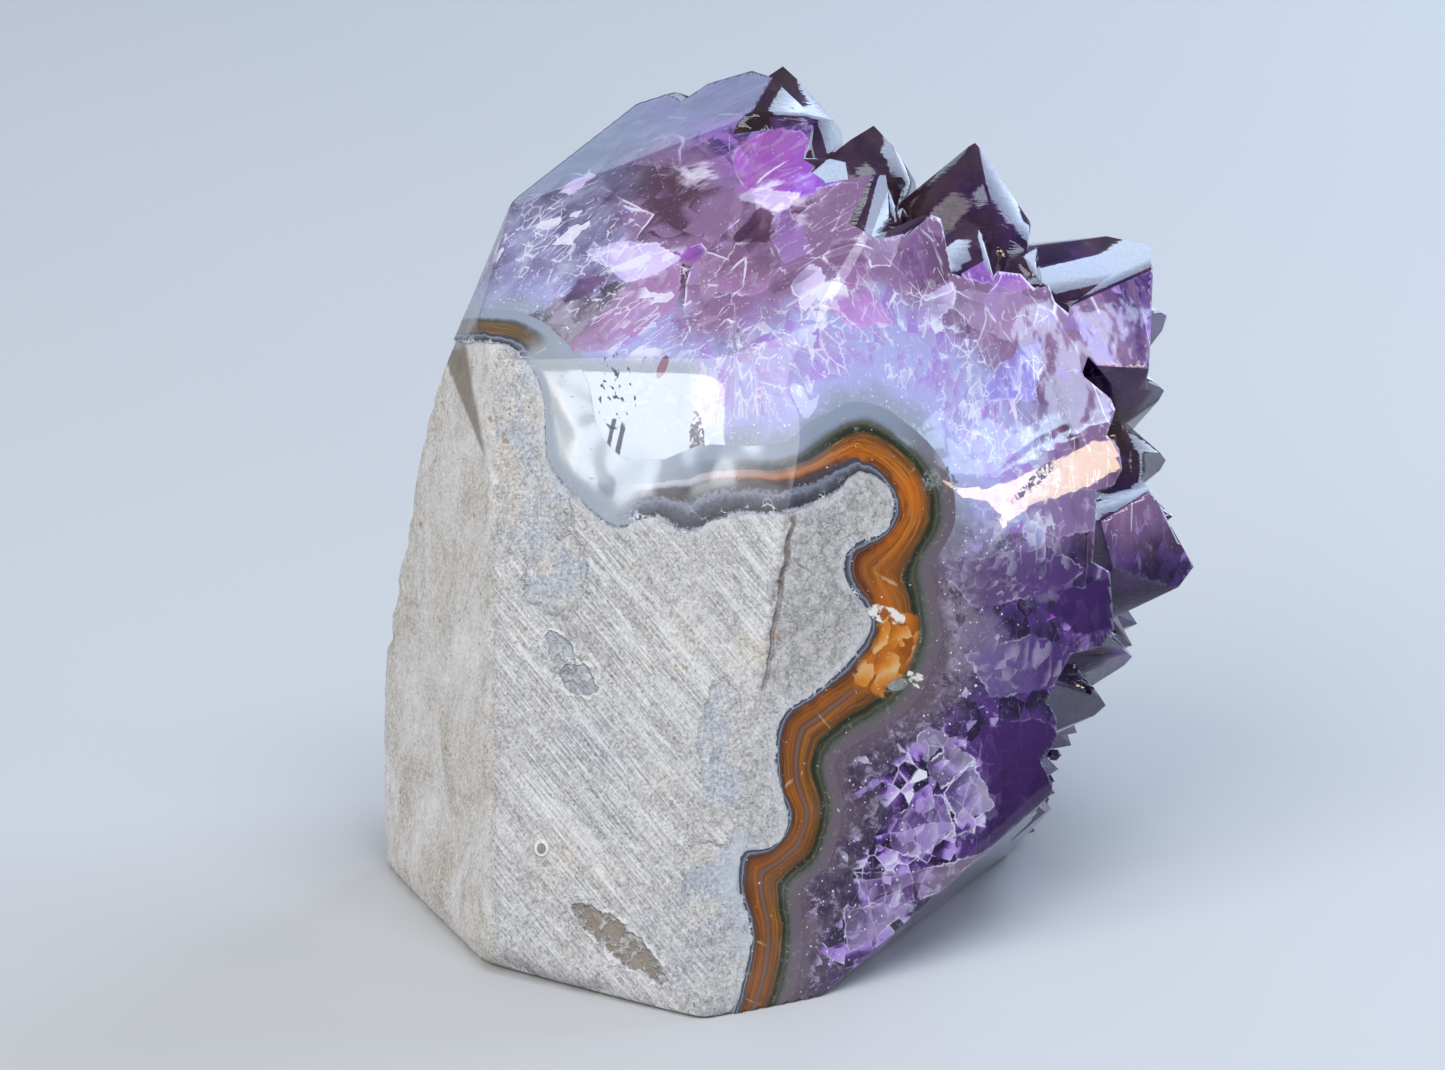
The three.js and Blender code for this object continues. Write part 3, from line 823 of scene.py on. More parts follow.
quartzLook = {
    "hazeLow": (0.135, 0.098, 0.135),    # against the agate, low down and high up
    # the pale blue haze high up is in part a painted reflection of the sky on the upper face
    "hazeHighWithSkyReflection": (0.33, 0.37, 0.48),
    "paleBlue": (0.43, 0.44, 0.78),
    "lavender": (0.45, 0.36, 0.70),
    "white": (0.80, 0.78, 0.92),
    "mauve": (0.33, 0.19, 0.37),
    "rose": (0.48, 0.30, 0.50),
    "brown": (0.125, 0.062, 0.110),
    "lilac": (0.42, 0.25, 0.70),
    "violet": (0.100, 0.036, 0.225),
    "magenta": (0.42, 0.12, 0.62),
    "deep": (0.020, 0.010, 0.048),
    "indigo": (0.050, 0.028, 0.120),
    "dusk": (0.078, 0.056, 0.104),       # speckled, low down beside the agate
    "duskHigh": (0.25, 0.205, 0.28),
    "upperTint": (1.5, 1.32, 1.8),       # of the single crystals below
    "lowerTint": (0.78, 0.70, 0.84),
    # their blue is in part a painted reflection of the sky on these upward faces
    "rimNear": (0.085, 0.085, 0.20),       # the narrow faces at the upper left
    "rimFar": (0.135, 0.17, 0.27),
    # the upper side is paler in part because a reflection of the sky is painted on it
    "highStarts": (49, 62),              # the pale upper side fades in between these, mm up
    "crestAt": 26.0,                     # a cloudy white layer, mm from the agate
    "roughness": 0.02,
    "glassTint": (0.82, 0.68, 0.96),
    "absorb": (0.52, 0.24, 0.74),
    "absorbDensity": 120.0,
    # places of soft-edged areas: place, size, turn
    "milky": [((28.5, 26.5), (7, 6.5), 20), ((24, 17.5), (7, 5), 35), ((19, 9.5), (5.4, 3.6), 25)],
    "glints": [
        ((44, 46), (3.4, 2.2), 20), ((36.5, 88.5), (4, 2.4), 10), ((43.8, 75.5), (1.9, 1.0), 10),
        ((0, 90), (3.5, 1.5), 20),
    ],
    "greyViolet": [((38, 52), (6, 5), 20), ((34, 42), (4, 6), 0)],
    # soft streaks at the far upper left, and brown ones beside the agate's far end
    "blurred": [
        (0.34, (0.095, 0.075, 0.15)), (0.46, (0.20, 0.18, 0.32)), (0.56, (0.28, 0.28, 0.45)),
        (0.70, (0.50, 0.49, 0.62)),
    ],
    "earth": [(0.38, (0.045, 0.030, 0.034)), (0.50, (0.14, 0.10, 0.10)), (0.60, (0.34, 0.29, 0.34))],
    "wispLight": (0.42, 0.38, 0.50),
    "wispDark": (0.040, 0.026, 0.064),
    "greyVioletTone": (0.20, 0.165, 0.275),
    "speckLow": (0.34, 0.30, 0.40),
    "dustLow": (0.34, 0.31, 0.36),
    "dustHigh": (0.55, 0.57, 0.64),
    # pale blue-grey, in part a painted reflection of the pale light at the left
    "flatFace": (0.33, 0.37, 0.44),
    "pitTone": (0.10, 0.11, 0.13),
    "smudgeTone": (0.26, 0.24, 0.25),
    "dropTone": (0.20, 0.045, 0.12),
    # the crystals' own faces
    "natural": [
        (0.36, (0.026, 0.009, 0.070)), (0.46, (0.058, 0.020, 0.130)), (0.54, (0.065, 0.027, 0.072)),
        (0.64, (0.060, 0.030, 0.027)),
    ],
    "naturalPale": (0.30, 0.20, 0.44),
    # marks: place, size, how ragged, turn
    "brownish": ((-15.5, 80.5), (10.5, 3.4), 0.5, 28),
    "pitted": ((-10.8, 73), (3.4, 4.8), 0.3),
    "nicks": ((-10, 67.1), (2.0, 2.7), 0.3),
    "drop": ((-4.4, 75.6), (0.55, 1.5), 0.05, -22),
    "smudge": ((-0.4, 67), (0.9, 3.2), 0.6),
    "spatter": ((27.8, 62.8), (2.6, 1.4), 0.8, -30),
    "scribbles": [((39.4, 62.4), (3.8, 0.7), 0.5, 42), ((36.6, 55.2), (2.0, 0.9), 0.4, 20)],
    "wavyPart": ((43, 61), (14, 7), 0.0, 32),
    "calmBelow": 0.38,                   # crystals outlined less than this are smooth
    "plainBelow": 0.2,                   # and below this they aren't clouded either
    "crystalShare": 0.97,                # of a crystal's own tone over what lies below it
}
# Single crystals that the saw cut through: corners, colours at the first corner and opposite it, outline
upperCrystals = [
    ([(-16.1, 77.7), (-3.7, 77.5), (-2.9, 82.6), (0.8, 84.9), (1.5, 88.6), (-5.2, 87.9), (-10.2, 84.3)],
     (0.25, 0.16, 0.225), (0.34, 0.21, 0.31), 0.25),
    ([(4.1, 90.4), (1.4, 86.7), (2.1, 84.7), (5.0, 83.6), (7.7, 84.6), (9.0, 88.0), (8.3, 90.3)],
     (0.145, 0.080, 0.115), (0.33, 0.20, 0.30), 0.55),
    ([(8.7, 94.1), (8.5, 89.9), (9.9, 87.9), (13.2, 88.8), (10.3, 95.0)],
     (0.20, 0.10, 0.28), (0.31, 0.19, 0.36), 0.4),
    ([(3.8, 90.7), (8.3, 90.4), (8.5, 93.6), (7.0, 95.0), (5.8, 94.1), (4.7, 92.0)],
     (0.055, 0.022, 0.045), (0.090, 0.040, 0.065), 0.15),
    ([(10.2, 84.8), (10.9, 83.8), (11.8, 81.4), (13.4, 83.4), (14.7, 86.1), (12.8, 87.9)],
     (0.45, 0.43, 0.52), (0.66, 0.66, 0.70), 0.7),
    ([(15.1, 90.1), (14.8, 88.4), (15.8, 86.3), (17.6, 84.6), (19.6, 86.3), (19.3, 88.7), (17.7, 90.4)],
     (0.13, 0.070, 0.110), (0.27, 0.15, 0.25), 0.3),
    ([(15.4, 85.4), (14.7, 82.8), (17.5, 80.0), (22.3, 80.6), (19.2, 85.3)],
     (0.26, 0.125, 0.26), (0.40, 0.22, 0.42), 0.35),
    ([(18.8, 90.4), (19.9, 87.1), (22.7, 87.3), (23.2, 88.9), (25.0, 92.0), (22.5, 93.8), (20.2, 94.6),
      (19.4, 93.4)],
     (0.34, 0.27, 0.37), (0.52, 0.47, 0.55), 1.0),
    ([(23.4, 89.6), (22.9, 87.2), (25.4, 84.1), (30.0, 86.6), (30.1, 90.3), (25.8, 92.3)],
     (0.17, 0.085, 0.20), (0.095, 0.048, 0.070), 0.5),
    ([(33.1, 92.3), (30.2, 90.1), (30.4, 86.7), (36.4, 84.8), (41.1, 85.4), (41.7, 88.8), (39.9, 90.4),
      (36.5, 92.2)],
     (0.25, 0.07, 0.44), (0.42, 0.25, 0.44), 0.4),
    ([(30.4, 85.9), (29.6, 83.4), (32.1, 80.1), (37.2, 79.1), (41.6, 82.1), (41.1, 84.9), (36.4, 84.8)],
     (0.40, 0.34, 0.42), (0.32, 0.22, 0.29), 0.8),
    ([(33.7, 74.4), (32.9, 71.9), (39.7, 72.0), (40.7, 79.2), (37.2, 77.8)],
     (0.22, 0.22, 0.50), (0.33, 0.31, 0.58), 0.5),
    ([(25.3, 82.3), (25.7, 80.3), (28.3, 81.7), (30.1, 83.8), (29.7, 85.8), (26.0, 84.0)],
     (0.34, 0.31, 0.44), (0.64, 0.62, 0.70), 0.7),
    ([(3.6, 101.6), (4.2, 99.0), (5.3, 96.2), (10.6, 95.7), (16.1, 97.3), (16.5, 100.4), (11.8, 104.1),
      (8.1, 104.6)],
     (0.42, 0.13, 0.42), (0.24, 0.07, 0.42), 0.45),
    ([(4.0, 95.9), (6.2, 95.2), (8.8, 94.1), (10.5, 94.7), (11.7, 96.4), (5.9, 97.4)],
     (0.58, 0.57, 0.64), (0.66, 0.62, 0.70), 0.3),
    ([(-13.7, 89.8), (-11.1, 87.7), (-8.8, 85.8), (-5.2, 86.8), (-2.2, 88.7), (-5.2, 90.7), (-10.3, 90.8)],
     (0.42, 0.37, 0.52), (0.62, 0.60, 0.68), 0.4),
    ([(-17.3, 97.3), (-15.8, 96.8), (-12.8, 99.4), (-13.5, 100.3)],
     (0.60, 0.54, 0.66), (0.66, 0.64, 0.70), 0.2),
    ([(-16.6, 83.7), (-14.8, 83.6), (-11.1, 86.2), (-10.8, 87.3), (-14.5, 86.3)],
     (0.060, 0.042, 0.075), (0.12, 0.075, 0.12), 0.2),
]
lowerCrystals = [
    ([(33.1, 33.6), (32.5, 28.0), (34.2, 19.6), (37.6, 21.8), (43.4, 26.1), (44.5, 30.6), (41.3, 33.9),
      (38.8, 34.6)],
     (0.080, 0.028, 0.165), (0.045, 0.014, 0.105), 0.2),
    ([(43.3, 49.6), (41.2, 46.9), (45.7, 44.0), (51.4, 45.7), (50.2, 51.3)],
     (0.075, 0.022, 0.165), (0.040, 0.012, 0.105), 0.2),
    ([(26.0, 29.0), (28.3, 25.9), (32.3, 29.7), (29.4, 32.2)], (0.30, 0.26, 0.44), (0.60, 0.60, 0.70), 1.0),
    ([(28.3, 25.9), (30.2, 21.4), (34.2, 24.1), (32.3, 29.7)], (0.23, 0.18, 0.44), (0.56, 0.56, 0.70), 0.9),
    ([(21.8, 22.8), (22.4, 18.9), (25.7, 18.2), (30.2, 21.4), (28.3, 25.9)],
     (0.16, 0.075, 0.28), (0.40, 0.33, 0.58), 0.9),
    ([(24.6, 16.6), (25.5, 12.9), (29.2, 14.8), (34.2, 19.0)], (0.25, 0.18, 0.26), (0.36, 0.29, 0.38), 0.7),
    ([(17.9, 16.8), (19.6, 12.9), (25.5, 12.9), (24.6, 16.6)],
     (0.060, 0.022, 0.120), (0.17, 0.085, 0.27), 0.6),
    ([(16.3, 13.0), (17.3, 7.3), (21.3, 9.4), (25.5, 12.9), (19.6, 12.9)],
     (0.13, 0.10, 0.21), (0.36, 0.32, 0.46), 0.6),
    ([(25.2, 32.6), (26.3, 29.2), (29.6, 32.2), (26.8, 33.7)], (0.50, 0.49, 0.60), (0.36, 0.33, 0.48), 0.8),
    ([(38.6, 62.4), (38.2, 58.6), (42.3, 55.6), (48.4, 56.4), (48.0, 61.3)],
     (0.30, 0.23, 0.40), (0.42, 0.30, 0.52), 0.3),
    ([(28.0, 52.6), (31.8, 47.3), (41.2, 49.2), (46.1, 51.8), (40.8, 54.9)],
     (0.20, 0.15, 0.26), (0.13, 0.06, 0.24), 0.3),
    ([(31.0, 42.0), (34.0, 36.8), (43.1, 38.3), (46.9, 42.0), (38.6, 44.3)],
     (0.24, 0.19, 0.40), (0.11, 0.05, 0.22), 0.35),
]


# Glossy quartz: clear where the share is low, veiled by inclusions of the colour where it's high
def quartzSurface(made, colour, share, roughness, bump):
    look = quartzLook
    glass = made.add("ShaderNodeBsdfPrincipled", None, {
        "Base Color": (*look["glassTint"], 1), "Roughness": look["roughness"], "IOR": 1.544,
        "Transmission Weight": 1.0, "Normal": bump,
    })
    solid = made.add("ShaderNodeBsdfPrincipled", None, {
        "Base Color": colour, "Roughness": roughness, "IOR": 1.544, "Normal": bump,
    })
    surface = made.add("ShaderNodeMixShader", None, {0: share, 1: glass, 2: solid})
    volume = made.add("ShaderNodeVolumeAbsorption", None, {
        "Color": (*look["absorb"], 1), "Density": look["absorbDensity"]})
    return made.finish(surface, volume)


def polishedFinish():
    made = Recipe("polishedQuartz")
    fit, mix, ramp, join, patch = made.fit, made.mix, made.ramp, made.join, made.patch
    look = quartzLook
    spot, across, up, deep = cutPlace(made)
    fromRock, growth, along = layers(made)
    drift = made.noise(spot, 220, 3, 0.6)
    made.ragged = ragged = (made.noise(spot, 240, 4, 0.7) - 0.5) * 6
    cloud = made.noise(spot, 150, 4, 0.66, 0.6)
    mist = made.noise(join(along * 0.12, growth * 0.10, deep * 0.12), 1.0, 4, 0.6)
    speck = made.noise(spot, 1700, 3, 0.75)
    grown = growth + (drift - 0.5) * 7
    lean = (made.noise(spot, 60, 2) - 0.5) * 2
    # the upper side, whose paler tones are in part a painted reflection of the sky
    high = fit(up + (made.noise(spot, 110, 3) - 0.5) * 16, *look["highStarts"])

    def colours(value, *stops):
        return ramp(value, [(place, look[key]) for place, key in stops])

    # blades drawn out along their growth, splinters among them, and broad lumps further out
    blade = made.shards(join(along * 0.55 + growth * 0.10 + lean, growth * 0.17, deep * 0.5))
    splinter = made.shards(join(along * 1.1 - growth * 0.25 + lean, growth * 0.42, deep * 0.9))
    lumpPlace = join(along * 0.15 + growth * 0.04 + lean, growth * 0.11, deep * 0.16)
    lump = made.shards(lumpPlace)
    chip = made.shards(join(along * 0.38 + growth * 0.12 + lean, growth * 0.32, deep * 0.4))
    small = made.shards(spot, 420.0)
    # thin straight fractures, in two directions
    strokes = 0.0
    for slant in (0.14, -0.20):
        crossed = join(along * 0.52 + growth * slant, growth * 0.13 + slant, deep * 0.5)
        strokes = strokes + fit(made.cracks(crossed), 0.024, 0.008)
    strokes = strokes * fit(made.noise(spot, 420, 2), 0.50, 0.58) * fit(cloud, 0.40, 0.56)
    fanned = fit(growth, 9, 14) * (1 - high)

    # upper side: milky beside the agate, its pale blue there in part a painted reflection of the sky, then
    # blades, then smoother lumps and a cloudy crest
    fibres = colours(
        blade[0] * 0.44 + blade[2] * 0.5 + splinter[0] * 0.44 + splinter[2] * 0.7
        + (cloud - 0.5) * 0.6 + 0.05,
        (0.06, "lilac"), (0.26, "lavender"), (0.46, "paleBlue"), (0.64, "paleBlue"), (0.92, "white"))
    lumps = colours(
        lump[0] * 0.4 + lump[2] * 0.7 + chip[2] * 0.5 + (mist - 0.5) * 1.1 + (cloud - 0.5) * 0.6 + 0.28,
        (0.10, "brown"), (0.32, "mauve"), (0.54, "mauve"), (0.72, "rose"), (0.86, "lilac"),
        (1.0, "lavender"))
    outer = colours(
        lump[1] * 0.3 + lump[2] * 0.5 + chip[2] * 0.5 + (cloud - 0.5) * 1.2 + 0.35,
        (0.15, "mauve"), (0.36, "violet"), (0.52, "lilac"), (0.72, "magenta"), (0.92, "rose"))
    upper = mix(fit(grown, 0.6, 4.0), look["hazeHighWithSkyReflection"], look["paleBlue"])
    upper = mix(fit(grown, 3, 7) * 0.9, upper, fibres)
    upper = mix(fit(grown, 11, 16), upper, lumps)
    upper = mix(fit(grown, 26, 31), upper, outer)
    slanting = join(across * 0.16 + up * 0.10, up * 0.30 - across * 0.24, deep * 0.1)
    streaky = made.noise(slanting, 1.0, 4, 0.6, 0.3)
    farLeft = fit(across + ragged * 0.6, -5, -12) * fit(up, 82, 88)
    upper = mix(farLeft * 0.85, upper, ramp(streaky, look["blurred"]))
    upper = mix(made.mark(*look["brownish"]) * 0.8, upper, ramp(streaky, look["earth"]))
    crestLine = abs(growth - look["crestAt"] + ragged * 1.4)
    crest = fit(crestLine, 3.2, 0.6) * fit(cloud, 0.46, 0.60) * fit(across, 16, 10)
    upper = mix(crest * 0.75, upper, look["white"])
    # lower side: dusky and speckled, then indigo and deep violet
    block = made.shards(join(across * 0.30 + lean, up * 0.26, deep * 0.3))
    depths = colours(
        block[0] * 0.42 + block[2] * 0.8 + small[2] * 0.35 + (cloud - 0.5) * 1.1 + 0.14,
        (0.08, "deep"), (0.28, "indigo"), (0.46, "violet"), (0.58, "indigo"), (0.80, "lilac"),
        (1.0, "lavender"))
    dusk = mix(fit(up + ragged, 26, 48), look["dusk"], look["duskHigh"])
    wisps = made.noise(spot, 520, 4, 0.75, 0.5)
    dusk = mix(fit(wisps, 0.51, 0.63) * 0.6, dusk, look["wispLight"])
    dusk = mix(fit(wisps, 0.49, 0.39) * 0.75, dusk, look["wispDark"])
    lower = mix(fit(grown, 0.4, 3.0), look["hazeLow"], dusk)
    lower = mix(fit(grown, 3.0, 8.0), lower, depths)

    def places(key, rough):
        total = 0.0
        for place, size, turn in look[key]:
            total = total + made.mark(place, size, rough, turn)
        return fit(total, 0, 1, smooth=False)

    greyed = places("greyViolet", 0.5) * fit(cloud, 0.40, 0.62)
    lower = mix(greyed * 0.75, lower, look["greyVioletTone"])
    colour = mix(high, lower, upper)
    # areas of small clear crystals, and violet glints
    milky = places("milky", 0.35)
    facets = colours(
        small[0] * 0.55 + small[2] * 1.1 + splinter[2] * 0.3 + (cloud - 0.5) * 0.8 + 0.08,
        (0.12, "deep"), (0.28, "violet"), (0.46, "lilac"), (0.64, "lavender"), (0.90, "white"))
    creases = fit(made.cracks(spot, 420.0), 0.045, 0.015) * fit(cloud, 0.42, 0.55)
    colour = mix(milky, colour, mix(creases * 0.6, facets, look["white"]))
    glints = places("glints", 0.5)
    glow = colours(
        small[0] * 0.5 + small[2] * 0.9 + cloud * 0.4,
        (0.15, "violet"), (0.40, "magenta"), (0.62, "magenta"), (0.80, "lilac"), (1.0, "white"))
    colour = mix(glints * fit(small[1], 0.25, 0.5) * 0.8, colour, glow)
    whites = crest * high * 0.6 + milky * 0.3

    # single crystals, each with its own tone from one corner to the opposite one
    flat = join(across, up, 1.0)
    jagged = (made.noise(spot, 300, 4, 0.7) - 0.5) * 2.2
    broken = fit(made.noise(spot, 330, 2), 0.46, 0.60, 0.05, 1.0) * made.front
    whiter = fit(splinter[2] + (drift - 0.5), 0.02, 0.3) * 0.3
    uneven = (cloud - 0.5) * 1.2 + chip[2] * 0.5
    calm = 0.0
    tinted = [(crystal, look["upperTint"]) for crystal in upperCrystals]
    tinted += [(crystal, look["lowerTint"]) for crystal in lowerCrystals]
    for (corners, first, last, outline), tint in tinted:
        first, last = [tuple(np.multiply(tone, tint)) for tone in (first, last)]
        inside = made.inside(flat, corners) + jagged
        here = fit(inside, -0.12, 0.12)
        if outline < look["calmBelow"]:
            calm = calm + here
        start, end = np.array(corners[0]), np.array(corners[len(corners) // 2])
        run = (end - start) / float(np.dot(end - start, end - start))
        place = made.dot(flat, (*run, -float(np.dot(run, start))))
        tone = mix(fit(place + uneven, 0, 1), first, last)
        most = look["crystalShare"] - outline * 0.35
        solid = here * most
        if outline > look["plainBelow"]:
            tone = mix(whiter, tone, look["white"])
            solid = here * fit(place + uneven, -0.1, 0.7, most * 0.6, most)
        colour = mix(solid * made.front, colour, tone)
        edge = abs(inside - 0.1)
        rim = fit(edge, 0.16, 0.02, 0, outline * 0.85) * broken
        colour = mix(rim, colour, look["white"])
        whites = whites + rim * 0.4
    # broken outlines of the lumps, fractures, flecks and specks, fewer on the smooth crystals
    busy = (1 - fit(calm, 0, 1) * 0.85) * (1 - fanned * 0.75)
    seams = fit(made.cracks(lumpPlace), 0.035, 0.008) * fit(lump[2], -0.02, 0.12)
    seams = seams * fit(growth, 8, 13) * fit(made.noise(spot, 260, 3), 0.44, 0.56)
    seams = seams * fit(high, 0, 1, 0.35, 1.0)
    colour = mix(seams * busy * 0.8, colour, look["white"])
    scratches = strokes * fit(grown, 4, 8) * fit(grown, 26, 15, 0.3, 1.0) * fit(high, 0, 1, 0.3, 1.0)
    colour = mix(scratches * busy * 0.75, colour, look["white"])
    bright = fit(blade[1] + (splinter[0] - 0.5) * 0.3, 0.90, 0.93) * fit(blade[2], -0.05, 0.12)
    bright = bright * fit(grown, 4, 7) * fit(grown, 19, 14) * high
    colour = mix(bright * 0.8, colour, look["white"])
    needles = fit(made.cracks(join(along * 1.3 + lean, growth * 0.24, deep * 0.9)), 0.075, 0.02)
    needles = needles * fit(splinter[0] + (drift - 0.5), 0.45, 0.62)
    needles = needles * fit(grown, 3, 5) * fit(grown, 17, 12) * high
    colour = mix(needles * 0.7, colour, look["white"])
    flecks = fit(splinter[1] + (drift - 0.5) * 0.6, 0.86, 0.92) * fit(splinter[2], -0.05, 0.08)
    flecks = flecks * fit(growth, 1, 3) * (1 - high) * busy
    colour = mix(flecks * 0.65, colour, mix(chip[0], look["white"], look["lilac"]))
    dot = made.cells(spot, 1600.0)
    dots = fit(dot + (speck - 0.5) * 0.9, 0.22, 0.10)
    dots = dots * fit(made.part(dot.beside("Color"), 0) + (drift - 0.5), 0.56, 0.70) * busy
    colour = mix(dots * fit(grown, 30, 2, 0.35, 0.95) * fit(growth, 0.5, 2), colour, look["white"])
    # specks and dust are paler on the upper side, in part a painted reflection of the sky
    speckled = fit(speck, 0.58, 0.70) * fit(grown, 24, 2, 0.25, 1.0) * busy
    colour = mix(speckled * 0.55, colour, mix(high, look["speckLow"], look["white"]))
    dust = fit(made.noise(spot, 900, 4, 0.7), 0.58, 0.72) * fit(grown, 6, 1)
    colour = mix(dust * 0.55, colour, mix(high, look["dustLow"], look["dustHigh"]))
    whites = whites + seams * 0.5 + scratches * 0.4 + bright * 0.6 + flecks * 0.4
    # the narrow faces at the upper left are smooth and blue, the blue in part a painted reflection of the
    # sky
    rimFace = fit(beyond(made, spot, "rimTop", "upperLeft") + ragged * 0.5, -2.5, 3.5)
    rimTone = mix(fit(streaky + (across + 5) * -0.02, 0.35, 0.8), look["rimNear"], look["rimFar"])
    colour = mix(rimFace * 0.85, colour, rimTone)
    # the flat face at the left is smooth, and pale in part from a painted reflection of the pale light at
    # the left
    flatFace = fit(beyond(made, spot, "frontLeft", "upperLeft"), -0.6, 0.4) * fit(across, 3, -2)
    flatFace = flatFace * made.front
    colour = mix(flatFace * 0.85, colour, look["flatFace"])
    # marks on it: dark pits, saw nicks and a wine-dark drop
    pitted = made.mark(*look["pitted"])
    pits = made.noise(join(across * 1.2 + up * 0.3, up * 0.85, deep * 0.5), 1.0, 3, 0.55)
    pits = fit(pits, 0.60, 0.625) * pitted
    slanted = abs(across + 10.0 + (up - 67.1) * -0.22)
    nickLines = abs(slanted - 0.62)
    nicks = fit(nickLines + jagged * 0.2, 0.34, 0.24) * made.mark(*look["nicks"])
    drop = made.mark(*look["drop"])
    smudge = made.mark(*look["smudge"]) * fit(speck, 0.42, 0.52)
    spatter = made.mark(*look["spatter"]) * fit(speck, 0.50, 0.56)
    scribble = made.mark(*look["scribbles"][0]) + made.mark(*look["scribbles"][1])
    scribble = fit(scribble * fit(speck, 0.44, 0.54), 0, 1, smooth=False)
    dark = fit(pits + nicks * 0.8 + spatter, 0, 1, smooth=False)
    colour = mix(dark, colour, look["pitTone"])
    colour = mix(smudge * 0.8, colour, look["smudgeTone"])
    colour = mix(drop * 0.9, colour, look["dropTone"])
    colour = mix(scribble * 0.8, colour, look["deep"])
    marks = dark + smudge + scribble
    wavy = made.noise(spot, 60, 2) * 5 + made.noise(spot, 260, 2) * 0.5
    wavy = wavy * (1 - flatFace * 0.85)
    wavy = wavy + patch(*look["wavyPart"]) * made.noise(spot, 200, 2, 0.5) * 1.2
    bump = made.bump(wavy, 0.35, 0.0001)
    share = fit(grown, 22, 3, 0.74, 1.0) + whites + marks + rimFace * 0.2 + flatFace * 0.3
    share = fit(share, 0, 1, smooth=False)
    return quartzSurface(made, colour, share, fit(marks, 0, 1) * 0.4 + 0.03, bump)


# The crystals' own faces: darker, brown to violet, and clear in places
def naturalFinish():
    made = Recipe("naturalQuartz")
    look = quartzLook
    fit, mix, ramp, join = made.fit, made.mix, made.ramp, made.join
    spot, across, up, deep = cutPlace(made)
    cloud = made.noise(spot, 170, 4, 0.6, 0.5)
    broad = made.noise(spot, 45, 3, 0.5)
    tone = ramp(broad * 0.7 + cloud * 0.3 + (up - 60) * 0.002, look["natural"])
    pale = fit(made.noise(spot, 320, 4, 0.65), 0.60, 0.72)
    tone = mix(pale * 0.22, tone, look["naturalPale"])
    stepped = made.noise(join(across * 0.3, up * 2.2, deep * 0.3), 1.0, 2, 0.5)
    bump = made.bump(made.noise(spot, 110, 2) * 3 + stepped * 1.5, 0.3, 0.0001)
    share = fit(cloud, 0.40, 0.62, 0.40, 0.85)
    return quartzSurface(made, tone, share, 0.05, bump)


agateMaterial = agateFinish()
basaltMaterial = basaltFinish()
polishedQuartz = polishedFinish()
naturalQuartz = naturalFinish()
print("materials made")


# Rock, saw-ground and matt
rock = {
    "edgeChip": 0.9,          # deepest bite out of an edge, mm
    "chipReach": 1.1,         # how far in from an edge they run, mm
    "grain": 0.05,
    "swell": 0.16,
    "sink": 0.05,             # all of it lies this far below the ground planes, mm
    "pitDepth": 0.45,         # over a pit's size
    "pitsBefore": 30,         # mm deep, so that none goes through to the back
    "flatBelow": 0.6,         # the base stays flat, mm
    "pits": [                 # across, up and size of pits in the front left face, mm
        (-17.5, 45.5, 2.2), (-15.5, 43, 1.8), (-13.8, 41.8, 2.1), (-15, 40.3, 1.4),
        (-18.6, 20.5, 1.0), (-4.5, 33, 0.7), (-9.5, 30.5, 0.6), (-20, 52, 0.8),
    ],
}


def rockSkin():
    points, away, quads, edgeGap = groundSkin(lambda hard: np.full(len(hard), stone["groundEdge"]))
    near = np.exp(-edgeGap / rock["chipReach"])
    bite = np.clip(noiseAt(points, 3.1, 11) * 1.5 + noiseAt(points, 1.3, 12) * 0.7, 0, 1)
    swell = noiseAt(points, 9, 13) * rock["swell"]
    grain = noiseAt(points, 1.1, 14) * rock["grain"]
    sink = near * bite * rock["edgeChip"] + rock["sink"]
    across, up, deep = toCut((points + frontCorner) * mm)
    for x, y, size in rock["pits"]:
        gap = np.hypot(across - x, up - y) + noiseAt(points, 1.2, 15) * 0.5
        dent = rock["pitDepth"] * size * np.exp(-(gap / size) ** 2 * 2)
        sink += np.where(deep < rock["pitsBefore"], dent, 0)
    flat = points[:, 2] < rock["flatBelow"]
    move = np.where(flat, 0, swell + grain - sink)
    moved = points + away * move[:, None]
    moved[:, 2] = np.maximum(moved[:, 2], 0)
    return makeObject("rockSkin", (moved + frontCorner) * mm, quads)


skin = rockSkin()
basalt = copyOf(skin, "basaltMatrix")
rockCutter = layerCutter("rockCutter", rockEdge, 0.0, count=800, rough=0.5, pitch=2.6)
combine(basalt, rockCutter, "INTERSECT")
print("basalt", len(basalt.data.polygons))

points, away, quads, edgeGap = groundSkin(polishedSoftness)
polished = makeObject("polishedSkin", (points - away * 0.01 + frontCorner) * mm, quads)
agate = copyOf(polished, "agateBand")
agateCutter = layerCutter("agateCutter", agateEdge, 0.75, rough=0.16, pitch=2.4)
combine(agate, agateCutter, "INTERSECT")
combine(agate, rockCutter, "DIFFERENCE")
print("agate", len(agate.data.polygons))

# The free face of the crystals, whose hollows hold small crystals
druse = {
    "edge": [
        (38, 6), (40.2, 17.5), (41.9, 29.4), (44.4, 36.5), (48.4, 44), (49.7, 53), (50.2, 63.8),
        (49.4, 72.2), (46.8, 80), (40.5, 86.5), (30.6, 89.6), (21, 93.8), (11.8, 100.5), (3, 108.5),
        (-7.5, 117), (-30, 132),
    ],
    "hollowAbove": -4.5,     # hollows lie between this and the next one, mm outside that edge
    "hollowBelow": -0.3,
    "behindGround": 3.6,     # mm in from every ground face
    "apart": 1.8,            # least distance between two small crystals, mm
    "width": (0.9, 2.1),     # across the corners, mm
    "slender": (0.55, 0.9),  # length over width
    "lean": 0.45,
    "densest": 8e5,          # to a square metre
    "mostTurn": 6.2,         # about their own axis, radians
    "seed": 5,
    # the seed crystal, as shares of its length, and the lean of its tip
    "root": 0.45,
    "shoulder": 0.42,
    "uneven": 0.1,
    "taper": 0.96,
    "tip": (0.05, -0.03, 1.0),
}


